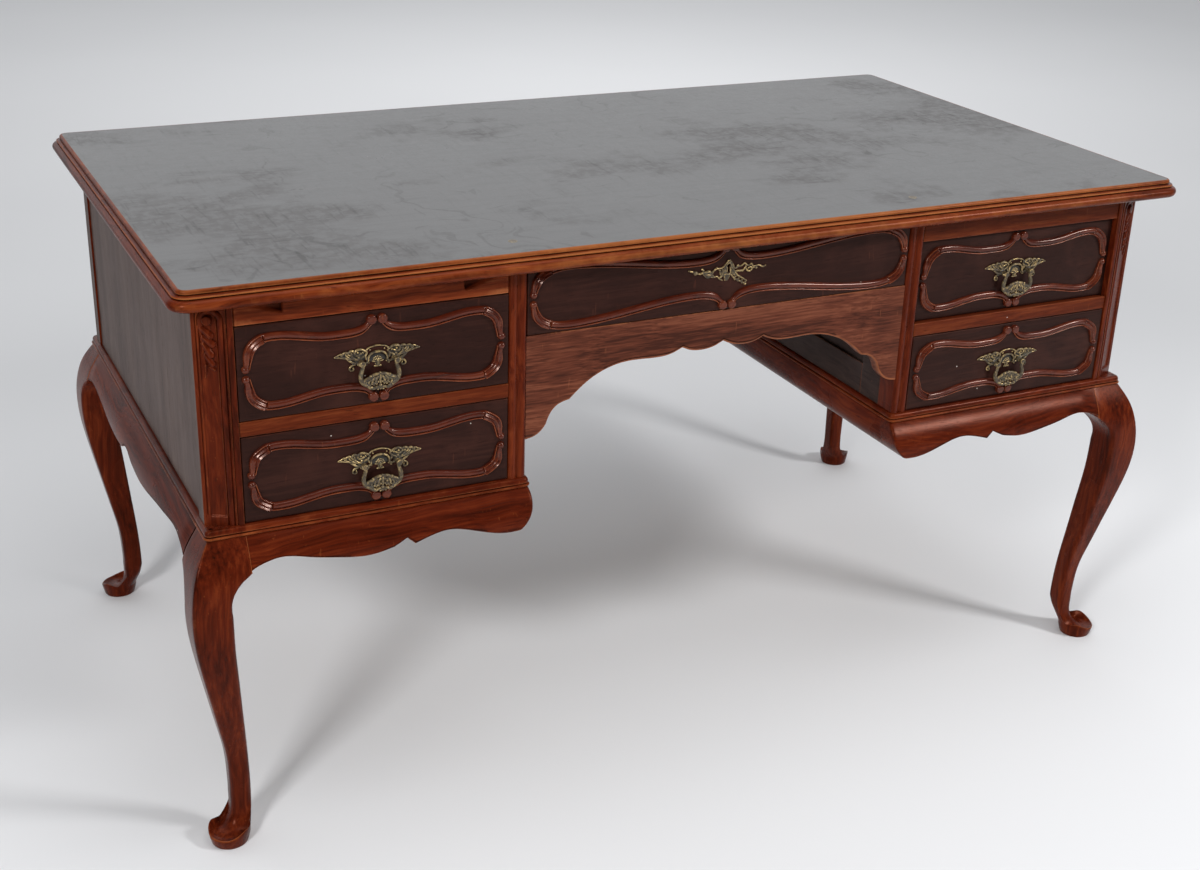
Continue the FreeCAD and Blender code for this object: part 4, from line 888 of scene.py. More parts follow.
def apron_levels(cut, line_at):
    """The apron's lines from its top down: over the swelling face, then round the softened sawn edge."""
    return ([line_at(BASE_UNDER - share * (BASE_UNDER - cut), 0.0) for share in DOWN]
            + [line_at(cut + lift, inset) for inset, lift in ARRIS])


LEG_OUT = leg_lines()[0]


def swell_by_leg(z, gap):
    """The apron's swelling, which runs into the leg's own over the last 30 mm before the leg."""
    share = 1 - soft(gap, 0, 30)
    return swell(z) * (1 - share) + np.interp(z, LEG_OUT[:, 1], LEG_OUT[:, 0]) * share


def corner_apron(sx, sy, name, node):
    edge = front_edge()
    cut_at = lambda x: np.interp(x, edge[:, 0], edge[:, 1])
    inside = edge[(edge[:, 0] > APRON_START + 2) & (edge[:, 0] < BAY_OUT), 0]
    shares = np.unique(np.r_[0, (inside - APRON_START) / APRON_RUN, 1])[::-1]
    front_cut = cut_at(APRON_START + shares * APRON_RUN)
    turn = np.radians(np.linspace(-90, -180, 8))[1:-1]
    run_back = np.linspace(0, 1, 9)
    end_cut = front_cut[-1] + (APRON_LOW - front_cut[-1]) * run_back
    cut = np.r_[front_cut, np.full(len(turn), front_cut[-1]), end_cut]
    nf = len(front_cut)
    ne = nf + len(turn)
    far = 400.0                                     # any gap beyond the leg's reach
    gap = np.r_[(1 - shares) * APRON_RUN, np.full(len(cut) - nf, far)]

    def line_at(z, inset):
        """Along the front, round the corner and back beside the kneehole."""
        radius = 4.0
        x, y = KNEEHOLE - tuck(z) + inset, -CASE_Y - swell_by_leg(z, gap) + inset
        mx, my = x + radius, y + radius
        return np.stack([np.r_[mx[:nf] + shares * (BAY_OUT - mx[:nf]), mx[nf:ne] + radius * np.cos(turn), x[ne:]],
                         np.r_[y[:nf], my[nf:ne] + radius * np.sin(turn), my[ne:] + run_back * (APRON_BACK - my[ne:])],
                         z], 1)

    rows = apron_levels(cut, line_at)
    under = rows[-1].copy()                         # the flat underneath, then the back up to the base moulding
    under[:nf, 1] += 8
    under[nf:, 0] = rows[-1][nf - 1, 0]
    back = under.copy()
    back[:, 1] = APRON_BACK
    high = back.copy()
    high[:, 2] = BASE_UNDER
    rows += [under, back, high]
    worn = np.zeros((len(rows), len(cut)))
    worn[-8:-3, nf - 4:] = 0.22
    worn[-9:-3, :] += 0.06
    form = Form()
    form.net(rows, worn=worn)
    stations = [(x, -CASE_Y, 0, -1) for x in np.linspace(BAY_OUT, KNEEHOLE + 3, 24)]
    stations += [(KNEEHOLE + 3 + 3 * math.cos(a), -CASE_Y + 3 + 3 * math.sin(a), math.cos(a), math.sin(a))
                 for a in np.radians(np.linspace(-90, -180, 7))[1:-1]]
    stations += [(KNEEHOLE, y, -1, 0) for y in np.linspace(-CASE_Y + 3, APRON_BACK, 4)]
    moulding_run(form, stations, base_profile(), worn=0.05)
    form.carry((sx, -sy, 1))
    form.make(name, "root", [node], [MAHOGANY["x"]], wear=1.7)


def side_apron(sx, name, node, run, cut, reach_at, face_x, out, half):
    """An apron along the desk's depth; its face looks away from the desk's middle (out 1) or towards it (-1)."""
    rows = apron_levels(cut, lambda z, inset: np.stack([face_x + out * (reach_at(z) - inset), run, z], 1))
    flat = rows[-1].copy()
    flat[:, 0] = face_x - out * BOARD
    high = flat.copy()
    high[:, 2] = BASE_UNDER
    form = Form()
    form.net(rows + [flat, high])
    moulding_run(form, [(face_x, y, out, 0) for y in np.linspace(-half, half, 40)], base_profile(), worn=0.04)
    form.carry((sx, 1, 1))
    form.make(name, "root", [node], [MAHOGANY["y"]], wear=1.7)


OUTER_RUN, OUTER_CUT = np.array([spot for spot in side_edge() if abs(spot[0]) <= SIDE_RUN]).T
outer_swell = lambda z: swell_by_leg(z, SIDE_RUN - np.abs(OUTER_RUN))
for side_name, sx in SIDES:
    for face_name, sy in FACES:
        corner_apron(sx, sy, "%s_%s_swelling_apron" % (side_name, face_name), "%s_apron_%s" % (side_name, face_name))
    side_apron(sx, side_name + "_outer_swelling_apron", side_name + "_apron_outer", OUTER_RUN, OUTER_CUT,
               outer_swell, CASE_X, 1, SIDE_RUN)
    side_apron(sx, side_name + "_kneehole_side_apron", side_name + "_apron_inner",
               np.linspace(-INNER_RUN, INNER_RUN, 60), np.full(60, APRON_LOW), tuck, KNEEHOLE, -1, INNER_RUN)
print("aprons:", len([p for p in PIECES if "apron" in p]))

# %% [markdown]
# ## The kneehole aprons
# A flat board closes the kneehole under the centre drawer, its lower edge sawn to a long double curve with
# small breaks in it. Its edge was rounded over by a rasp and has worn to pale wood since.

# %% Kneehole aprons
def kneehole_edge():
    deepest = 145.0
    at = lambda share, drop: (share * KNEEHOLE, CENTRE_LOW - drop * deepest)
    half = sawn_line([[at(0, .31), at(.05, .355), at(.115, .372), at(.17, .359), at(.215, .321)],
                      [at(.215, .321), at(.27, .366), at(.37, .383), at(.50, .379), at(.60, .421), at(.70, .524),
                       at(.785, .669)], [at(.785, .669), at(.84, .703), at(.88, .786), at(.90, .883)],
                      [at(.90, .883), at(.93, .952), at(.97, .99), at(1, 1)]], 2.4)
    return np.concatenate([half[:0:-1] * np.array([-1, 1]), half])


def kneehole_apron(y_face, facing, top, name, node):
    x, low = kneehole_edge().T
    lines = [(0.0, top - t * (top - low)) for t in (0, .02, .12, .3, .5, .7, .85, .93)]
    lines += [(inset, low + lift) for inset, lift in (
        (0, 4.5), (0.1, 2.6), (0.7, 1.0), (1.7, 0.25), (3.2, 0.0),
        (16.8, 0.0), (18.3, .25), (19.3, 1.0), (19.9, 2.6), (BOARD, 4.5))]
    lines.append((BOARD, np.full(len(x), top)))
    rows = [np.stack([x, np.full(len(x), y_face - facing * inset), z], 1) for inset, z in lines]
    worn = np.zeros((len(rows), len(x)))
    worn[9:13] = 0.3
    worn[0] = 0.25
    form = Form()
    form.net(rows, worn=worn)
    form.net([rows[0], rows[-1]])
    form.make(name, "root", [node], [APRON_WOOD], wear=2.2)


kneehole_apron(FRONT_Y, -1, CENTRE_LOW, "kneehole_front_board", "kneehole_apron_front")
kneehole_apron(-FRONT_Y, 1, TOP_UNDER, "kneehole_back_board", "kneehole_apron_back")
print("kneehole edge points:", len(kneehole_edge()))

# %% [markdown]
# ## Carved corner posts
# The corner posts are square, with the outer corner planed off to a slant. On the slant a carver cut a field,
# a bead that arches over it, a round boss and a leaf. Sculpting it would take long and couldn't be repeated.
# Here the slant is a fine grid, and one function gives the height at each spot: hollows below zero, and the
# leaf as a few overlapping drops.

# %% Corner posts
CANT_FRONT, CANT_SIDE = 37.0, 18.0
CANT = math.hypot(CANT_FRONT, CANT_SIDE)
LEAF = (((11, 719), (22, 708.5), 3.4, 4.8), ((12.5, 707), (24, 698), 3.2, 5.0), ((13, 699), (21.5, 684.5), 3.4, 4.9),
        ((14.5, 685), (23, 673), 2.8, 4.2), ((20, 669), (25, 666), 1.6, 2.3), ((14.5, 671), (13.5, 656), 2.8, 1.2),
        ((10.5, 716), (15, 662), 1.9, 1.5))


def drop(c, z, low, high, r_low, r_high):
    """A rounded drop between two spots, thicker at one end."""
    ax, az, bx, bz = low[0], low[1], high[0], high[1]
    t = np.clip(((c - ax) * (bx - ax) + (z - az) * (bz - az)) / ((bx - ax) ** 2 + (bz - az) ** 2), 0, 1)
    away = np.hypot(c - ax - t * (bx - ax), z - az - t * (bz - az))
    radius = r_low + (r_high - r_low) * t
    dome = np.sqrt(np.clip(1 - (away / radius) ** 2, 0, 1))
    ridge = 0.35 * np.exp(-(away / 0.8) ** 2)
    return np.where(away < radius, dome * (1.1 + 0.55 * radius) + ridge * (radius > 2), 0.0)


ARCH_C, ARCH_Z, ARCH_RADIUS = 22.8, 728.0, 11.4     # middle and radius of the bead's arch, from whose ends it runs down
BEAD_HALF, FIELD_DEEP = 3.1, 2.2


def carving(c, z):
    """Height of the carving over the slant; c runs across it from the side to the front."""
    arch = np.hypot(c - ARCH_C, z - ARCH_Z)
    inside = soft(c, 7.6, 9.0) * (1 - soft(c, 28.4, 29.8)) * soft(z, 471, 474)
    inside = np.where(z > ARCH_Z, np.minimum(inside, 1 - soft(arch, 8.4, 9.6)), inside)
    field = -FIELD_DEEP * inside
    reed = np.where(z > ARCH_Z, np.abs(arch - ARCH_RADIUS), np.abs(c - (ARCH_C + ARCH_RADIUS)))
    short_end = np.where((z <= ARCH_Z) & (z > ARCH_Z - 7), np.abs(c - (ARCH_C - ARCH_RADIUS)), 99.0)
    reed = np.minimum(reed, short_end)
    bead = np.sqrt(np.clip(1 - (reed / BEAD_HALF) ** 2, 0, 1)) * 1.7 - 1.0
    beside = -1.7 * np.exp(-((reed - 3.7) / 0.9) ** 2)
    height = np.where(reed < BEAD_HALF, np.maximum(bead, -1.0), np.minimum(field, beside))
    edge_run = -1.5 * np.exp(-((c - 5.0) / 0.9) ** 2) * soft(z, 472, 476) * (1 - soft(z, 736, 742))
    height = np.where(reed < BEAD_HALF, height, np.minimum(height, edge_run))
    leaf = np.max([drop(c, z, *part) for part in LEAF], 0)
    height = np.where(leaf > 0.05, np.maximum(height, -FIELD_DEEP + leaf), height)
    away = np.hypot(c - 19.0, z - ARCH_Z)
    boss = -FIELD_DEEP + 4.3 * (1 - soft(away, 5.2, 6.7)) + 0.4 * (1 - np.clip(away / 6.3, 0, 1) ** 2)
    height = np.where(away < 6.7, np.maximum(height, boss), height)
    height = np.where((away >= 6.7) & (away < 8.2) & (reed > BEAD_HALF), -2.5, height)
    return height + np.where((c < 0.7) | (c > CANT - 0.7), -0.18, 0.0)


def corner_post(sx, sy, name):
    heights = np.unique(np.round(np.r_[TOP_UNDER, 750, np.linspace(745, 653, 126), np.linspace(650, 478, 30),
                                       np.linspace(476, 469, 9), 467, 463, BASE_TOP], 3))[::-1]
    across = np.r_[0, 0.35, 0.8, np.linspace(1.4, CANT - 1.4, 66), CANT - 0.8, CANT - 0.35, CANT]
    slope = np.array([-CANT_FRONT, CANT_SIDE]) / CANT
    out = np.array([CANT_SIDE, CANT_FRONT]) / CANT
    c, z = np.meshgrid(across, heights)
    plan = np.array([0.0, -CANT_SIDE]) + c[..., None] * slope + carving(c, z)[..., None] * out
    slant = np.concatenate([plan, z[..., None]], -1)

    def plumb(u, v):
        """The spots (u, v) repeated at every height."""
        size = (len(heights), len(v))
        return np.stack([np.broadcast_to(part, size) for part in (u, v, heights[:, None])], -1)

    flat = plumb([-37.5, -38.1, -38.8, -39.6, -41.5, -43.5, -45.0, -45.8, -POST],
                 [-1.5, -1.7, -1.0, -.1, 0, 0, 0, -.2, -.9])
    back = plumb([-POST, -POST], [-23.0, -POST])
    side = plumb(0.0, [-POST, -42, -34, -26, -20.5, -19])
    form = Form()
    form.net(slant)
    form.net(np.concatenate([slant[:, -1:], flat, back], 1))
    form.net(np.concatenate([side, slant[:, :1]], 1), mark=1)
    form.net(np.concatenate([back[:, -1:], side[:, :1]], 1))
    form.carry((sx, sy, 1), (CASE_X, CASE_Y, 0))
    form.make("carved_" + name, "root", [name], [MAHOGANY["z"], PANEL_WOOD], sharp=70, wear=1.25)


for side_name, sx in SIDES:
    for face_name, sy in FACES:
        corner_post(sx, sy, "post_%s_%s" % (face_name, side_name))


def reeded_post():
    """The posts beside the kneehole: two reeds with a groove between."""
    half = [(0.0, 38.0), (0.0, 20.0), (0.0, 4.0), (0.35, 2.2)]
    reed = [(1.8, 0.75), (2.4, 0.25), (4.2, -0.1), (6.0, 0.0), (7.6, 0.35), (9.0, 0.9), (9.9, 1.7), (10.5, 2.5),
            (11.3, 3.1), (12.0, 3.3)]
    return np.array(half + reed)


form = Form()
section = reeded_post()
section = np.concatenate([section, (section * [-1, 1] + [24, 0])[-2::-1]])
levels = np.r_[TOP_UNDER, 748, np.linspace(738, 474, 16), 466, BASE_TOP]
for sx in (-1, 1):
    for sy in (-1, 1):
        drift = wander(295, len(levels), 0.12, 3 + sx + 2 * sy)
        form.net([np.stack([sx * (KNEEHOLE + section[:, 0]), sy * (CASE_Y - section[:, 1] + d * (section[:, 1] < 4)),
                            np.full(len(section), z)], 1) for z, d in zip(levels, drift)])
form.make("kneehole_reeded_posts", "root", ["inner_posts"], [MAHOGANY["z"]], sharp=60, wear=1.5)
print("posts ready:", len([p for p in PIECES if "post" in p]))

# %% [markdown]
# ## Rails, panels and drawer fronts
# These are boards, but no old board is a plain box: its edges are rounded by use and its face isn't dead
# flat. A board here is a grid of small faces with rounded edges, so the edges can catch light and show
# rubbed polish. The kneehole walls are frames with a dark panel set back in them.

# %% Boards of the case
form = Form()
form.board((BAY_IN, FRONT_Y, 718.5), (BAY_OUT, RAIL_BACK, TOP_UNDER), 1.4)
for sx in (1, -1):
    form.board((sx * BAY_IN, FRONT_Y, 576), (sx * BAY_OUT, RAIL_BACK, 595.5), 1.6)
form.make("rails_between_drawers", "root", ["front_rails"], [RAIL_WOOD], wear=1.5)


def kneehole_wall(sx, name, node):
    form = Form()
    near, far, end = KNEEHOLE, KNEEHOLE + 18, 334
    gap_y, gap_low, gap_high, tongue = 286, 508, 707, 4     # the frame's opening, and how far the panel goes into it
    for y0, y1, z0, z1 in ((-end, -gap_y, BASE_TOP, TOP_UNDER), (gap_y, end, BASE_TOP, TOP_UNDER),
                           (-gap_y, gap_y, BASE_TOP, gap_low), (-gap_y, gap_y, gap_high, TOP_UNDER)):
        form.board((near, y0, z0), (far, y1, z1), 1.3)
    form.board((near + 5, -gap_y - tongue, gap_low - tongue), (near + 12, gap_y + tongue, gap_high + tongue), 0.6)
    form.carry((sx, 1, 1))
    form.make(name, "root", [node], [INNER_PANEL_WOOD], wear=2.0)


for side_name, sx in SIDES:
    kneehole_wall(sx, side_name + "_kneehole_wall", side_name + "_inner_panel")


DRAWERS = []                                        # name, middle x and z, face, half sizes of its carved frame
for side_name, sx in SIDES:
    for tier, low, high, half_high in (("upper", 596.5, 717.5, 50.5), ("lower", 461.0, 575.0, 47.0)):
        face = -362.0 if (side_name, tier) == ("right", "upper") else FRONT_Y
        drawer = "%s_%s_drawer" % (side_name, tier)
        form = Form()
        form.board((sx * FACE_IN, face, low), (sx * FACE_OUT, face + BOARD, high), 1.5, near=5.0, step=22.0)
        form.make(drawer + "_face", drawer, [drawer + "_front"], [DRAWER_WOOD], wear=1.3)
        DRAWERS.append((drawer, sx * (FACE_IN + FACE_OUT) / 2, (low + high) / 2, face, 163.5, half_high))
print("drawer faces:", len(DRAWERS))

# %% [markdown]
# The centre drawer's front has a keyhole through it. A square patch in its grid is filled with rings of
# points that close in from the square onto the hole's rim. The board's back is left open.

# %% Centre drawer front
def front_with_keyhole():
    form = Form()
    half, low, high = 292.0, 658.0, 754.0
    lobe = lambda x, z: np.where(z > KEYHOLE_Z - 1.5, np.hypot(x, z - KEYHOLE_Z) - 3.0,
                                 np.where(z > KEYHOLE_Z - 9.5, np.abs(x) - (1.5 + 0.06 * (KEYHOLE_Z - z)), 9.0))
    angle = np.linspace(0, 2 * math.pi, 48, endpoint=False)
    patch = 14.0                                    # half of the square patch that holds the keyhole
    far = np.stack([patch * np.cos(angle), patch * np.sin(angle)], 1)
    rim = []
    for a in angle:
        reach = np.linspace(0.3, 13, 200)
        inside = lobe(reach * math.cos(a), KEYHOLE_Z - 2.5 + reach * math.sin(a)) < 0
        end = reach[np.argmin(inside)] if not inside.all() else 13
        rim.append((end * math.cos(a), end * math.sin(a)))
    rim = np.array(rim)
    middle = KEYHOLE_Z - 2.5
    square = np.clip(far * 1.5, -patch, patch)
    rows = [np.stack([q[:, 0], np.full(48, y), middle + q[:, 1]], 1)
            for q, y in ((square, FRONT_Y), (rim * 0.35 + square * 0.65, FRONT_Y), (rim * 0.8 + square * 0.2, FRONT_Y),
                         (rim * 1.06, FRONT_Y), (rim, -369.5), (rim * 0.98, -368.0), (rim * 0.97, -352.0))]
    form.net(rows, around=True)
    cut = (-patch, patch, middle - patch, middle + patch)
    xs = np.unique(np.r_[np.linspace(-half + 1.5, cut[0], 14), np.linspace(cut[0], cut[1], 5),
                         np.linspace(cut[1], half - 1.5, 14)])
    zs = np.unique(np.r_[np.linspace(low + 1.5, cut[2], 4), np.linspace(cut[2], cut[3], 5),
                         np.linspace(cut[3], high - 1.5, 4)])
    for x0, x1 in zip(xs, xs[1:]):
        for z0, z1 in zip(zs, zs[1:]):
            if cut[0] - .1 <= x0 < cut[1] - .1 and cut[2] - .1 <= z0 < cut[3] - .1:
                continue
            form.put([(x0, FRONT_Y, z0), (x1, FRONT_Y, z0), (x1, FRONT_Y, z1), (x0, FRONT_Y, z1)], [(0, 1, 2, 3)])
    ring = lambda e, y: np.array([(x, y, z) for x, z in
                                  [(x, low + e) for x in xs] + [(half - e, z) for z in zs]
                                  + [(x, high - e) for x in xs[::-1]] + [(-half + e, z) for z in zs[::-1]]])
    form.net([ring(1.5, FRONT_Y), ring(0.9, -369.9), ring(0.35, -369.4), ring(0.0, -368.5), ring(0.0, -351.0),
              ring(0.4, FRONT_BACK)], around=True)
    form.net([ring(0.4, FRONT_BACK), ring(1.5, FRONT_BACK)], around=True)
    form.make("centre_drawer_face", "centre_drawer", ["centre_drawer_front"], [DRAWER_WOOD], wear=1.3)


front_with_keyhole()
print("keyhole cut")

# %% [markdown]
# ## The writing slide's front
# The slide is pulled by a finger groove at each end. The groove starts at nothing, gets deeper and reaches
# lower over some 60 mm, and stops short. Shade is painted into it. The front is a set of lines at one height
# each, and the groove is pressed into every line.

# %% Slide front
def slide_front():
    low, high, groove = 718.8, 754.5, 58.0
    x = np.unique(np.r_[-FACE_OUT, -668.3, -667.2, np.linspace(-665, -602, 50), np.linspace(-600, -387, 24),
                        np.linspace(-385, -322, 50), -319.8, -318.7, -FACE_IN])
    run = np.minimum(x + FACE_OUT, -FACE_IN - x)    # how far a spot lies from the nearer end
    deep = 5.0 * soft(run, -6, 50) * (1 - soft(run, 57.5, 62))
    ramp = np.clip(run / groove, 0, 1) ** 1.5 * (1 - soft(run, groove, 61))
    lip = high - 10.0 - 15.0 * np.clip(run / groove, 0, 1)
    z = np.concatenate([[high, high - .3, high - 1.2], np.linspace(high - 2.5, low + 2, 22), [low + .9, low + .3, low]])
    inset = np.concatenate([[1.2, .4, .05], np.zeros(22), [.1, .5, 1.3]])[:, None]
    z = z[:, None]
    scoop = deep * ramp * soft(z - lip, -0.5, 5.0)
    y = FRONT_Y + inset + scoop + 1.2 * (1 - soft(run, 0, 1.8))
    rows = np.stack([np.broadcast_to(x, y.shape), y, np.broadcast_to(z, y.shape)], -1)
    worn = 0.35 * np.exp(-((run - 10) / 20) ** 2) * np.exp(-((z - (low + 4)) / 5) ** 2)
    worn += 0.25 * np.exp(-((z - (high - 17)) / 2.5) ** 2) * (run < 60)
    form = Form()
    # Subtracting 0.16 per mm of the groove's depth paints shade into the finger grooves.
    form.net(rows, worn=worn - 0.16 * scoop)
    behind = lambda line: line * [1, 0, 1] + [0, FRONT_BACK, 0]
    form.net([behind(rows[0]), rows[0]])
    form.net([rows[-1], behind(rows[-1]), behind(rows[0])])
    for k in (0, -1):
        form.net([rows[:, k], behind(rows[:, k])])
    form.make("writing_slide_face", "writing_slide", ["writing_slide_front"], [SLIDE_WOOD], wear=1.6)


slide_front()
print("slide front points:", len(bpy.data.meshes["writing_slide_face"].vertices))

# %% [markdown]
# ## Applied mouldings on the drawers
# Each drawer wears a drawn-out frame of four carved strips. A strip is a bead with a thin fillet beside it;
# at the front's corner it swells into two flutes, and at its ends it curls into a flat button or a small
# ball. One quarter is drawn and mirrored. Under the middle line the fillet lies below again, because all
# the strips were cut from the same length.

# %% Carved strips
BEAD = np.array([(-1.0, -.3), (-.985, .7), (-.93, 1.9), (-.82, 3.1), (-.66, 4.0), (-.46, 4.5), (-.24, 4.65),
                 (-.02, 4.5), (.18, 4.0), (.34, 3.1), (.44, 2.1), (.50, 1.1), (.56, 1.0), (.62, 1.9), (.71, 2.5),
                 (.82, 2.55), (.91, 2.2), (.975, 1.2), (1.0, -.3)])
FLUTED = np.array([(-1.0, -.3), (-.99, 1.2), (-.95, 2.8), (-.88, 3.9), (-.76, 4.2), (-.62, 3.4), (-.46, 2.6),
                   (-.30, 3.0), (-.16, 4.0), (0.0, 4.7), (.16, 4.0), (.30, 3.0), (.46, 2.6), (.62, 3.4), (.76, 4.2),
                   (.88, 3.9), (.95, 2.8), (.99, 1.2), (1.0, -.3)])


def quarter_line(hw, hh, dip):
    """A quarter of a pedestal drawer's frame, hw wide and hh high from the middle, dipping by dip."""
    return smooth_line([(7.5, hh - .1 * dip), (12.5, hh - .5 * dip), (20, hh - .8 * dip), (.18 * hw, hh - .95 * dip),
                        (.28 * hw, hh - dip), (.39 * hw, hh - .985 * dip), (.5 * hw, hh - .84 * dip),
                        (.61 * hw, hh - .62 * dip), (hw - 46.5, hh - .44 * dip), (hw - 32.5, hh - .40 * dip),
                        (hw - 20.5, hh - .50 * dip), (hw - 12.2, hh - .80 * dip), (hw - 6, .63 * hh),
                        (hw - 2.6, .44 * hh), (hw - 1.5, .28 * hh), (hw, 6.8)], 1.3)


def long_quarter_line():
    """A quarter of the centre drawer's frame, whose dip is drawn out over a longer run."""
    return smooth_line([(8, 38.5), (12, 33), (19, 28), (32, 24.4), (50, 23.2), (80, 24.4), (110, 27.5), (145, 32.2),
                        (180, 36.6), (213, 39.4), (240, 39.8), (259, 37), (271.5, 31.5), (279, 23.6), (282.4, 15),
                        (284, 6.8)], 1.3)


def carved_quarter(form, centre_x, centre_z, face, hw, hh, line, su, sv):
    ahead = np.gradient(line, axis=0)
    ahead /= np.linalg.norm(ahead, axis=1)[:, None]
    inward = np.stack([ahead[:, 1], -ahead[:, 0]], 1)
    inward *= np.sign((inward * -line).sum(1))[:, None]
    run = np.r_[0, np.cumsum(np.linalg.norm(np.diff(line, axis=0), axis=1))]
    corner = run[np.argmin(np.abs(line[:, 0] - (hw - 22)))]
    wide = 5.8 + 0.8 * soft(run, corner - 4, corner + 3) * (1 - soft(run, corner + 18, corner + 42))
    wide *= 0.72 + 0.28 * soft(run, 5, 20)
    wide *= 0.78 + 0.22 * soft(run[-1] - run, 4, 16)
    fluted = soft(run, corner - 0.3, corner + 0.3) * (1 - soft(run, corner + 22, corner + 44))
    joint = 1 - 0.5 * np.exp(-((run - corner) / 0.45) ** 2)
    fluted = fluted[:, None, None]
    section = BEAD * (1 - fluted) + FLUTED * fluted
    turned = ((run < corner) & (sv < 0))[:, None, None]
    section = np.where(turned, section[:, ::-1] * np.array([-1.0, 1.0]), section)
    rows = []
    for k in range(section.shape[1]):
        spot = line + inward * (section[:, k, 0] * wide)[:, None]
        rows.append(np.stack([centre_x + su * spot[:, 0], face - section[:, k, 1] * joint,
                              centre_z + sv * spot[:, 1]], 1))
    form.net(rows)
    button = [(1.0, -.05), (1.0, .35), (.985, .62), (.93, .82), (.82, .95), (.66, 1.0), (.45, .985), (.2, .97),
              (0, .97)]
    form.dome((centre_x + su * 6.9, face, centre_z + sv * (hh + 0.2)), 6.5, 5.9, shape=button, sides=28)
    ball = [(math.cos(t), 0.12 + 0.88 * math.sin(t)) for t in np.linspace(-0.14, math.pi / 2, 10)]
    form.dome((centre_x + su * (hw + 1.4), face, centre_z + sv * 6.4), 5.1, 5.8, shape=ball, sides=24)


def applied_frame(drawer, centre_x, centre_z, face, hw, hh, line):
    form = Form()
    for su in (-1, 1):
        for sv in (-1, 1):
            carved_quarter(form, centre_x, centre_z, face, hw, hh, line, su, sv)
    form.make(drawer + "_carved_frame", drawer, [drawer + "_mouldings"], [STRIP_WOOD], sharp=55, wear=1.5)


for drawer, x, z, face, hw, hh in DRAWERS:
    applied_frame(drawer, x, z, face, hw, hh, quarter_line(hw, hh, 15.3))
applied_frame("centre_drawer", 0.0, 706.0, FRONT_Y, 283.0, 40.0, long_quarter_line())
print("frames carved:", len([p for p in PIECES if "carved_frame" in p]))

# %% [markdown]
# ## Cast brass
# The handle plates, bails and the escutcheon were cast from a model made of scrolls, so they are drawn the
# same way: as strokes and beads in a flat plan, across (u), up (v) and out of the drawer's face (w). Joining
# dozens of tubes with booleans is slow and fragile. A voxel remesh melts them into one skin in a moment and
# leaves the soft inner corners that a casting has.

# %% Strokes and casting
def stroke(form, points, radii, out=None, flat=1.05):
    """A scroll: a rounded bar through (u, v) spots with a radius at each, lying on the face."""
    plan = [tuple(p) + (r,) for p, r in zip(points, np.broadcast_to(radii, (len(points),)))]
    line = smooth_line(plan, 0.7) if len(plan) > 2 else even(plan, 0.7)
    ahead = np.gradient(line[:, :2], axis=0)
    ahead /= np.maximum(np.linalg.norm(ahead, axis=1), 1e-9)[:, None]
    across = np.stack([-ahead[:, 1], ahead[:, 0]], 1)
    radius = line[:, 2]
    middle = radius * flat * 0.95 if out is None else np.full(len(line), out)
    angle = np.linspace(0, 2 * math.pi, 10, endpoint=False)
    rows = []
    for k in range(len(line)):
        u = line[k, 0] + across[k, 0] * np.cos(angle) * radius[k]
        v = line[k, 1] + across[k, 1] * np.cos(angle) * radius[k]
        rows.append(np.stack([u, v, middle[k] + np.sin(angle) * radius[k] * flat], 1))
    first, last = rows[0].mean(0), rows[-1].mean(0)
    nose = np.append(ahead[0] * radius[0] * 0.8, 0.0)
    tail = np.append(ahead[-1] * radius[-1] * 0.8, 0.0)
    shrink = lambda row, centre, push: centre + (row - centre) * 0.55 + push
    form.net([shrink(rows[0], first, -nose)] + rows + [shrink(rows[-1], last, tail)], around=True, caps=True)


def bead(form, u, v, radius, out=None):
    """A small round grain."""
    out = radius * 0.75 if out is None else out
    turn = np.linspace(0, math.pi, 9)
    angle = np.linspace(0, 2 * math.pi, 14, endpoint=False)
    form.net([np.stack([u + radius * math.sin(t) * np.cos(angle), v + radius * math.sin(t) * np.sin(angle),
                        np.full(14, out + radius * 0.9 * math.cos(t))], 1) for t in turn], around=True)


def both_sides(form, points, radii, **more):
    stroke(form, points, radii, **more)
    stroke(form, [(-u, v) for u, v in points], radii, **more)


def melted(form, grain_mm):
    """One skin round everything in the form: its points in mm and its faces."""
    mesh = bpy.data.meshes.new("melting")
    points, faces = np.concatenate(form.points) * MM, np.concatenate(form.faces)
    mesh.from_pydata(points.tolist(), [], faces.tolist())
    tidy_mesh(mesh, 0.004 * MM)
    pot = bpy.data.objects.new("melting", mesh)
    bpy.context.scene.collection.objects.link(pot)
    remesh = pot.modifiers.new("skin", "REMESH")
    remesh.mode, remesh.voxel_size = "VOXEL", grain_mm * MM
    smooth = pot.modifiers.new("soften", "SMOOTH")
    smooth.factor, smooth.iterations = 0.5, 1
    skin = pot.evaluated_get(bpy.context.evaluated_depsgraph_get()).to_mesh()
    found = np.empty(len(skin.vertices) * 3)
    skin.vertices.foreach_get("co", found)
    corners = np.empty(len(skin.loops), int)
    skin.loops.foreach_get("vertex_index", corners)
    pot.to_mesh_clear()
    bpy.data.objects.remove(pot)
    bpy.data.meshes.remove(mesh)
    return found.reshape(-1, 3) / MM, corners.reshape(-1, 4)


def set_on_face(points, x, z, face):
    """From the flat plan to a drawer's face."""
    return np.stack([x + points[:, 0], face - points[:, 2], z + points[:, 1]], 1)


print("casting tools ready")

# %% [markdown]
# The plate has a double arch over a little shell, and arms of C-scrolls that run out to leaf tips. The bail
# hangs from two bosses: its arms bow out, and its grip is a mass of pierced leaves.

# %% Handle plate and bail
BOSS_U, BOSS_V = 22.5, -3.0                         # where the bail's bosses stand on the plate


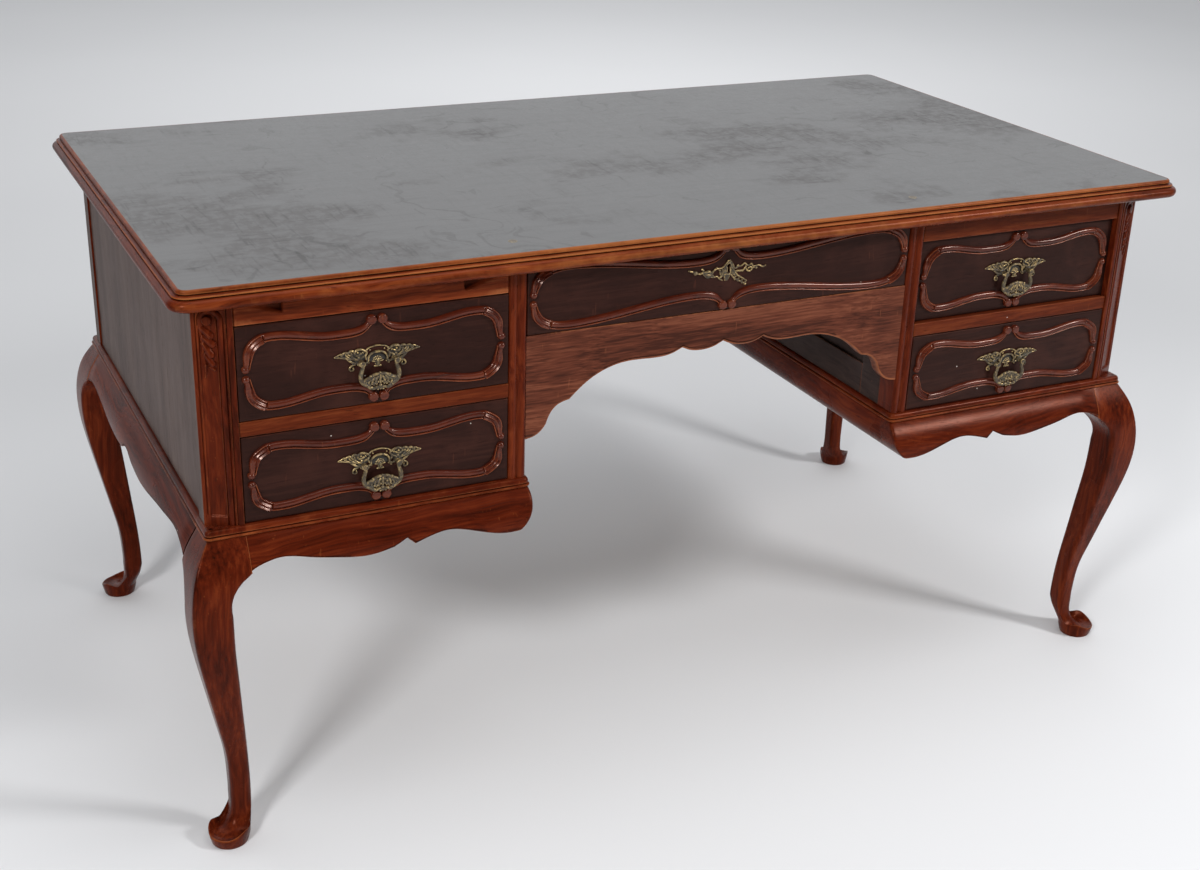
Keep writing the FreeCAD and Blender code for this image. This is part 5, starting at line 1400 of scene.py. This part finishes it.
def plate_plan():
    f = Form()
    stroke(f, [(-15, 9.6), (-12.4, 13), (-6.5, 15.2), (0, 16), (6.5, 15.2), (12.4, 13), (15, 9.6)], 1.05, flat=1.3)
    stroke(f, [(-12, -3), (-11.8, 1.6), (-8.6, 5.8), (0, 8.2), (8.6, 5.8), (11.8, 1.6), (12, -3)],
           [1.3, 1.4, 1.5, 1.6, 1.5, 1.4, 1.3], flat=1.3)
    for a in range(-75, 76, 25):
        bead(f, 5.0 * math.sin(math.radians(a)), -3.2 + 4.6 * math.cos(math.radians(a)), 1.15)
    for a in (-60, -20, 20, 60):
        bead(f, 2.9 * math.sin(math.radians(a)), -3.4 + 2.6 * math.cos(math.radians(a)), 1.1, 1.8)
    bead(f, 0, -3.6, 1.6, 1.8)
    stroke(f, [(-6.5, -4.4), (0, -5.4), (6.5, -4.4)], 1.0)
    stroke(f, [(0, -5), (0, -10)], [2.2, 1.5], flat=0.8)
    stroke(f, [(-4.2, -10.9), (4.2, -10.9)], 1.15)
    stroke(f, [(-2.7, -8), (2.7, -8)], 0.9)
    pair = lambda points, radii, **more: both_sides(f, points, radii, **more)
    pair([(12, -3), (14.6, 0.4), (15.6, 4.4), (13.6, 7.6), (15, 10.2)], [1.3, 1.5, 1.5, 1.3, 1.5])
    pair([(15, 9.8), (19, 12.4), (23.6, 13.3), (27.8, 12), (29.4, 9), (27.6, 6.2), (24.2, 5.6), (21.6, 7.6)],
         [1.3, 1.6, 1.7, 1.6, 1.5, 1.3, 1.2, 1.5])
    pair([(15.6, 4), (18.6, 3), (21.4, 1), (22.5, -3)], [1.2, 1.3, 1.5, 1.6])
    pair([(29, 10), (32.6, 12.5), (36, 11.6), (37.4, 8.6), (34.8, 6.6)], [1.3, 1.5, 1.5, 1.2, 1.1])
    pair([(37, 9.6), (40.6, 11.4), (44, 10), (44.6, 7.8)], [1.2, 1.35, 1.2, 0.9])
    pair([(44, 9.4), (47.4, 9.9), (50.6, 8.4), (55, 6.6)], [1.1, 1.15, 1.0, 0.7])
    pair([(22.5, -1), (27, 0.6), (32, 1.8), (38, 3.2), (45, 4.8), (55, 6.4)], [2.1, 1.6, 1.5, 1.4, 1.2, 0.8])
    pair([(28.6, 1.2), (32.6, 5), (33.4, 10)], [1.6, 1.3, 1.0])
    pair([(35, 3), (39.4, 6.4), (40.6, 9.6)], [1.4, 1.1, 0.9])
    pair([(41.4, 4.4), (45.4, 6.6), (47, 8.8)], [1.2, 1.0, 0.8])
    pair([(22.5, -3), (26.6, -4.4), (31, -3.4), (35.6, -0.4), (39.4, 2.6)], [1.8, 1.6, 1.6, 1.4, 1.0])
    pair([(27, -4.2), (31.2, -6), (34.8, -8), (36.2, -10.8), (34, -13.2), (31, -12.2), (31.6, -9.8)],
         [1.5, 1.4, 1.3, 1.3, 1.2, 1.1, 1.2])
    pair([(12, -3), (14.6, -5.4), (18.4, -5), (22.5, -3)], [1.4, 1.4, 1.4, 1.8])
    for side in (-1, 1):
        for u, v, r in ((16, 10.6, 1.8), (14.6, -7.6, 1.5), (11.6, -5.6, 1.3), (9.2, 10.6, 1.2), (25, 9.2, 1.6),
                        (18.6, 8.6, 1.5), (24, 2.8, 1.9), (32.2, 8, 1.2), (27.4, -1.6, 1.3)):
            bead(f, side * u, v, r)
        bead(f, side * BOSS_U, BOSS_V, 4.4, 1.2)
        for low, high, r in ((1.0, 6.5, 3.4), (6.0, 9.6, 2.9), (9.0, 13.0, 3.9)):
            angle = np.linspace(0, 2 * math.pi, 20, endpoint=False)
            f.net([np.stack([side * BOSS_U + q * r * np.cos(angle), BOSS_V + q * r * np.sin(angle), np.full(20, w)], 1)
                   for q, w in ((0.02, low), (0.9, low), (1, low + .4), (1, high - .8), (.85, high - .1),
                                (.02, high + .2))], around=True)
    return f


def plate_shade_sheet():
    """The thin low casting between the scrolls, painted near black as the shade in the openwork's recesses."""
    f = Form()
    both_sides(f, [(17, 2.5), (24, 5), (32, 6.4), (40, 7), (47, 7.6)], [4.2, 5.8, 4.4, 2.8, 1.4], flat=0.12)
    both_sides(f, [(21, -1), (28, -1.4), (33, -2.6)], [3.4, 2.8, 1.6], flat=0.16)
    stroke(f, [(-8, -1.5), (0, 0.5), (8, -1.5)], [4.0, 5.5, 4.0], flat=0.13)
    return np.concatenate(f.points), np.concatenate(f.faces)


def bail_plan():
    f = Form()
    pair = lambda points, radii, **more: both_sides(f, points, radii, **more)
    pair([(23.6, -2.0), (21.9, -6), (22.6, -11), (24.3, -16), (24.7, -22), (22.6, -28), (17.4, -32.4)],
         [2.4, 2.3, 2.5, 2.9, 3.0, 2.8, 2.4], out=9.5, flat=0.95)
    pair([(23.8, -3), (27.0, -3), (27.6, -3)], [2.2, 2.4, 1.6], out=9.5)
    pair([(17.4, -32.4), (13.4, -35.6), (8.4, -37), (4.2, -35.8), (0, -37.4)], [2.3, 2.1, 2.0, 1.9, 2.1], out=9.5)
    pair([(22.6, -27), (18.6, -24.6), (13.8, -22.6), (10.2, -20.4), (5, -18.6), (0, -18.2)],
         [2.2, 2.0, 2.2, 2.0, 2.0, 1.9], out=9.7)
    stroke(f, [(0, -19), (0, -24), (0, -30)], [1.8, 2.0, 1.4], out=10.2)
    pair([(2.4, -21.6), (5.6, -26), (4.8, -31.4)], [1.6, 1.9, 1.4], out=10.2)
    pair([(7.4, -22), (10.2, -27), (8.2, -32.4)], [1.5, 1.8, 1.3], out=9.9)
    pair([(12.2, -24.6), (15, -28.4), (13.2, -32.6)], [1.5, 1.7, 1.3], out=9.8)
    pair([(17.2, -26.6), (19.2, -29), (17, -31.4)], [1.4, 1.5, 1.3], out=9.6)
    pair([(0, -26), (6, -28), (12, -29.5), (17, -29)], [3.4, 4.0, 3.4, 2.0], out=8.3, flat=0.25)
    for side in (-1, 1):
        for u, v, r in ((6.6, -30, 1.7), (11.4, -35.2, 2.0), (3.4, -38.0, 1.6), (11, -30.4, 1.4), (2.8, -28.6, 1.4),
                        (15.6, -33.2, 1.8), (8.4, -25.0, 1.4), (12.4, -20.6, 2.0), (19.4, -31, 1.5)):
            bead(f, side * u, v, r, 10.4)
    bead(f, 0, -33.6, 2.3, 10.2)
    bead(f, 0, -38.4, 1.6, 9.6)
    bead(f, 0, -17.2, 1.7, 9.8)
    return f


PLATE, BAIL = melted(plate_plan(), 0.5), melted(bail_plan(), 0.5)
for drawer, x, z, face, hw, hh in DRAWERS:
    for (points, faces), name, body, node in ((PLATE, "_cast_plate", drawer, "_handle"),
                                              (BAIL, "_cast_bail", drawer + "_bail", "_bail")):
        form = Form()
        form.put(set_on_face(points, x, z, face), faces)
        if node == "_handle":
            shade_sheet = plate_shade_sheet()
            # The sheet gets a rub value of -1.2, which paints it near black: shade between the scrolls.
            form.put(set_on_face(shade_sheet[0], x, z, face), shade_sheet[1], worn=-1.2)
        form.make(drawer + name, body, [drawer + node], [BRASS], weld=0.001, sharp=80, wear=1.3)
print("plate faces:", len(PLATE[1]), "bail faces:", len(BAIL[1]))

# %% [markdown]
# The escutcheon's two arms differ: a knotted one to the left, a wavy tendril to the right, and a slanting
# pierced leaf below. Its plan is measured from the keyhole.

# %% Escutcheon
def escutcheon_plan():
    f = Form()
    ring = [(3.9 * math.sin(t), 3.9 * math.cos(t)) for t in np.radians(np.linspace(-140, 140, 13))]
    stroke(f, ring, 1.25, flat=1.1)
    stroke(f, [(-2.6, -3), (-3.0, -9.6)], 1.1)
    stroke(f, [(2.6, -3), (3.2, -10)], 1.1)
    stroke(f, [(-2, 5), (-1.2, 7.2), (1.4, 6.6), (3.4, 4.6), (6, 1), (7.6, -3)], [1.2, 1.4, 1.2, 1.1, 1.2, 1.2])
    stroke(f, [(-2.2, 5.2), (-6, 1), (-10.4, -2), (-15, -2.4), (-18.4, -2), (-22.6, -4.4), (-25.4, -8.6), (-24, -12)],
           [1.1, 1.0, 1.1, 1.2, 1.5, 1.2, 1.4, 1.2], flat=1.2)
    stroke(f, [(-25.6, -8), (-27.4, -11.6), (-22, -13.6), (-17.6, -13.4), (-14, -16.6), (-9, -19.6)],
           [1.3, 1.3, 1.1, 1.1, 1.1, 1.0])
    stroke(f, [(-26.4, -9), (-31, -4.6), (-35, -5.6), (-39.6, -5.4)], [1.3, 1.9, 1.7, 1.3])
    stroke(f, [(-26.8, -11.6), (-32, -13), (-36.6, -9.6), (-39.8, -6)], [1.3, 1.5, 1.3, 1.2])
    stroke(f, [(-28, -9.4), (-33, -9.4), (-37, -7)], [1.9, 2.2, 1.4])
    stroke(f, [(-39.8, -5.6), (-44.6, -6.8), (-48.4, -5.4), (-51, -4.6)], [1.5, 1.3, 1.2, 1.6])
    stroke(f, [(-53.4, -3.6), (-57, -2.4), (-61, -1.2)], [1.2, 1.3, 0.9])
    stroke(f, [(-14.4, -4.4), (-12.6, -7.6), (-12.8, -10.4)], [1.2, 1.4, 1.3])
    stroke(f, [(-10, -3), (-8.6, -6.4), (-9.4, -12), (-12, -15.6)], [1.3, 1.6, 2.2, 1.4], flat=0.6)
    stroke(f, [(-6.4, -1), (-5.6, -6), (-6.6, -12)], [1.2, 1.6, 1.8], flat=0.6)
    stroke(f, [(-7, -11.4), (-2.4, -11.6), (2.4, -12)], [1.5, 1.8, 1.3])
    for u in (-6, -4.2, -2.4, -0.6, 1.2):
        stroke(f, [(u * 1.05, -13.4), (u * 0.72 - 1.2, -17), (u * 0.36 - 2.6, -20.4)], [1.2, 1.3, 0.9])
    stroke(f, [(5.4, -3), (8.6, -8), (11.4, -11.6), (14, -14)], [1.2, 1.1, 1.2, 1.1])
    stroke(f, [(5.4, -7), (7.4, -11), (11.6, -14.6)], [1.5, 1.9, 1.3], flat=0.6)
    stroke(f, [(4, -12.6), (6.4, -15.6), (11, -19.6), (16, -22.4), (22, -25.6), (27, -28)],
           [1.3, 1.2, 1.2, 1.2, 1.2, 1.0])
    stroke(f, [(13, -14), (17.6, -17), (23, -20.4), (28.6, -24)], [1.2, 1.2, 1.1, 1.0])
    for a, b in (((9.6, -17.4), (13.2, -15.6)), ((14.6, -20.6), (18.6, -18)), ((20, -23.6), (23.8, -21.4)),
                 ((25.6, -26.4), (28.6, -24.2))):
        stroke(f, [a, b], [1.1, 0.9])
    stroke(f, [(7.6, -3), (10.6, -4.6), (13.6, -2.4), (17.4, -2.4), (20.6, -1.4), (24.2, 0.9), (28.4, -2.2),
               (31.6, -2.6), (34.8, -1), (37.6, -4.6), (42.6, -4.8), (47.8, -4.6), (53.4, -7.2), (57.6, -6)],
           [1.2, 1.2, 1.5, 1.1, 1.1, 1.2, 1.1, 1.2, 1.3, 1.1, 1.0, 1.0, 1.0, 0.8])
    stroke(f, [(12, -8.6), (16.6, -8.6), (21, -9), (24.6, -6.4), (26.8, -3.4)], [1.2, 1.3, 1.2, 1.1, 1.1])
    stroke(f, [(26.4, -5.4), (29, -9.6), (33.4, -10.6), (35.6, -7.8), (33.4, -5.4), (30.6, -6.6)],
           [1.1, 1.3, 1.3, 1.2, 1.1, 1.2])
    stroke(f, [(35.6, -7.6), (39, -6.6), (42.4, -7)], [1.1, 1.1, 1.4])
    for u, v, r in ((13.7, -1.6, 2.0), (-51, -4.8, 3.0), (-48.2, -6, 1.7), (-53.6, -3.4, 1.6), (-40.6, -0.9, 1.7),
                    (-38.4, -2.8, 1.3), (-18.6, -1.4, 1.7), (42.3, -7, 2.0), (10.1, -20.2, 1.5), (15.4, -22.8, 1.5),
                    (21.6, -26.2, 1.6), (26.9, -28.4, 1.8), (1.6, -12, 1.7), (17, -8.8, 1.7), (21.6, -9.4, 1.5),
                    (-12.8, -8, 1.6), (57.2, -5.9, 1.1), (-60.6, -1.3, 1.2), (0.6, 7.6, 1.3)):
        bead(f, u, v, r)
    return f


points, faces = melted(escutcheon_plan(), 0.5)
form = Form()
form.put(set_on_face(points, 0.0, KEYHOLE_Z, FRONT_Y), faces)
form.make("cast_escutcheon", "centre_drawer", ["centre_drawer_escutcheon"], [BRASS], weld=0.001, sharp=80,
          wear=1.3)
print("escutcheon faces:", len(faces))

# %% [markdown]
# Two worn brass plugs sit in the writing surface near its front edge. They are discs, slightly dished by
# wear, with a rounded rim.

# %% Plugs
form = Form()
for x in (-305.0, 305.0):
    form.dome((x, -350.0, TOP_SURFACE), 5.9, 0.3, facing=(0, 0, 1), sides=40,
              shape=[(1.0, -6), (1.0, 0.1), (.975, .8), (.93, 1.0), (.8, .7), (.5, .3), (.2, .4), (0, .4)])
form.make("worn_plugs", "root", ["top_plugs"], [PLUG_BRASS], wear=1.0)
print("plugs set")

# %% [markdown]
# ## The studio
# The desk stands on a pale floor under soft light: a panel to each side in front, a large one overhead and
# one that lights the floor far behind. The surround gives the top its grey sheen: it is bright behind the
# desk, and dimmer in front and to the left.

# %% Floor and light
def studio_floor():
    b = Bench("studio_paper")
    cloud = b.noise(b.place, 0.8, 2.0)
    crease = b.noise(b.place, 6.0, 3.0)
    colour = b.blend(cloud, (0.755, 0.76, 0.775), (0.80, 0.805, 0.82))
    return b.finish(Base_Color=colour, Roughness=0.75 + crease * 0.1, Normal=b.height(crease, 1.0, 0.2),
                    Specular_IOR_Level=0.2)


floor_mesh = bpy.data.meshes.new("floor")
reach = 30.0
floor_mesh.from_pydata([(-reach, -reach, 0), (reach, -reach, 0), (reach, reach, 0), (-reach, reach, 0)], [],
                       [(0, 1, 2, 3)])
floor_mesh.materials.append(studio_floor())
floor = bpy.data.objects.new("floor", floor_mesh)
bpy.context.scene.collection.objects.link(floor)


def soft_panel(name, place, aim, width, height, watts):
    light = bpy.data.lights.new(name, "AREA")
    light.shape, light.size, light.size_y, light.energy = "RECTANGLE", width, height, watts
    holder = bpy.data.objects.new(name, light)
    bpy.context.scene.collection.objects.link(holder)
    back = np.array(place, float) - np.array(aim, float)
    back /= np.linalg.norm(back)
    side = np.cross((0, 0, 1), back)
    side /= np.linalg.norm(side)
    top = np.cross(back, side)
    holder.matrix_world = Matrix([[side[i], top[i], back[i], place[i]] for i in range(3)] + [[0, 0, 0, 1]])


soft_panel("panel_front_left", (-2.9, -2.7, 2.5), (0, 0, 0.5), 0.7, 0.7, 84)
soft_panel("panel_front_right", (2.6, -2.7, 2.6), (0, 0, 0.5), 0.7, 0.7, 84)
soft_panel("panel_overhead", (0.1, -0.7, 3.3), (0, -0.5, 0.0), 2.0, 2.0, 34)
soft_panel("panel_for_backdrop", (1.8, 3.0, 3.0), (2.5, 7.0, 0.0), 3.0, 1.2, 62)


def surround():
    """A room that is bright behind the desk, and dimmer where the beholder stands and to the left."""
    world = bpy.data.worlds.new("surround")
    world.use_nodes = True
    tree = world.node_tree
    look = tree.nodes.new("ShaderNodeTexCoord")
    split = tree.nodes.new("ShaderNodeSeparateXYZ")
    ramp = tree.nodes.new("ShaderNodeValToRGB")
    half = tree.nodes.new("ShaderNodeMapRange")
    half.inputs["From Min"].default_value, half.inputs["From Max"].default_value = -1.0, 1.0
    tree.links.new(look.outputs["Generated"], split.inputs[0])
    tree.links.new(split.outputs["Y"], half.inputs["Value"])
    tree.links.new(half.outputs[0], ramp.inputs[0])
    stops = [(0.0, 0.14), (0.45, 0.24), (0.76, 0.92), (1.0, 1.05)]
    while len(ramp.color_ramp.elements) < len(stops):
        ramp.color_ramp.elements.new(0.5)
    for element, (spot, level) in zip(ramp.color_ramp.elements, stops):
        element.position, element.color = spot, (0.965 * level, 0.98 * level, level, 1.0)
    left = tree.nodes.new("ShaderNodeMapRange")
    left.interpolation_type = "SMOOTHSTEP"
    for key, value in (("From Min", -0.85), ("From Max", -0.30), ("To Min", 0.40), ("To Max", 1.0)):
        left.inputs[key].default_value = value
    tree.links.new(split.outputs["X"], left.inputs["Value"])
    tree.links.new(ramp.outputs["Color"], tree.nodes["Background"].inputs["Color"])
    tree.links.new(left.outputs[0], tree.nodes["Background"].inputs["Strength"])
    return world


bpy.context.scene.world = surround()
bpy.context.scene.view_settings.view_transform = "Standard"
print("lights:", len(bpy.data.lights))
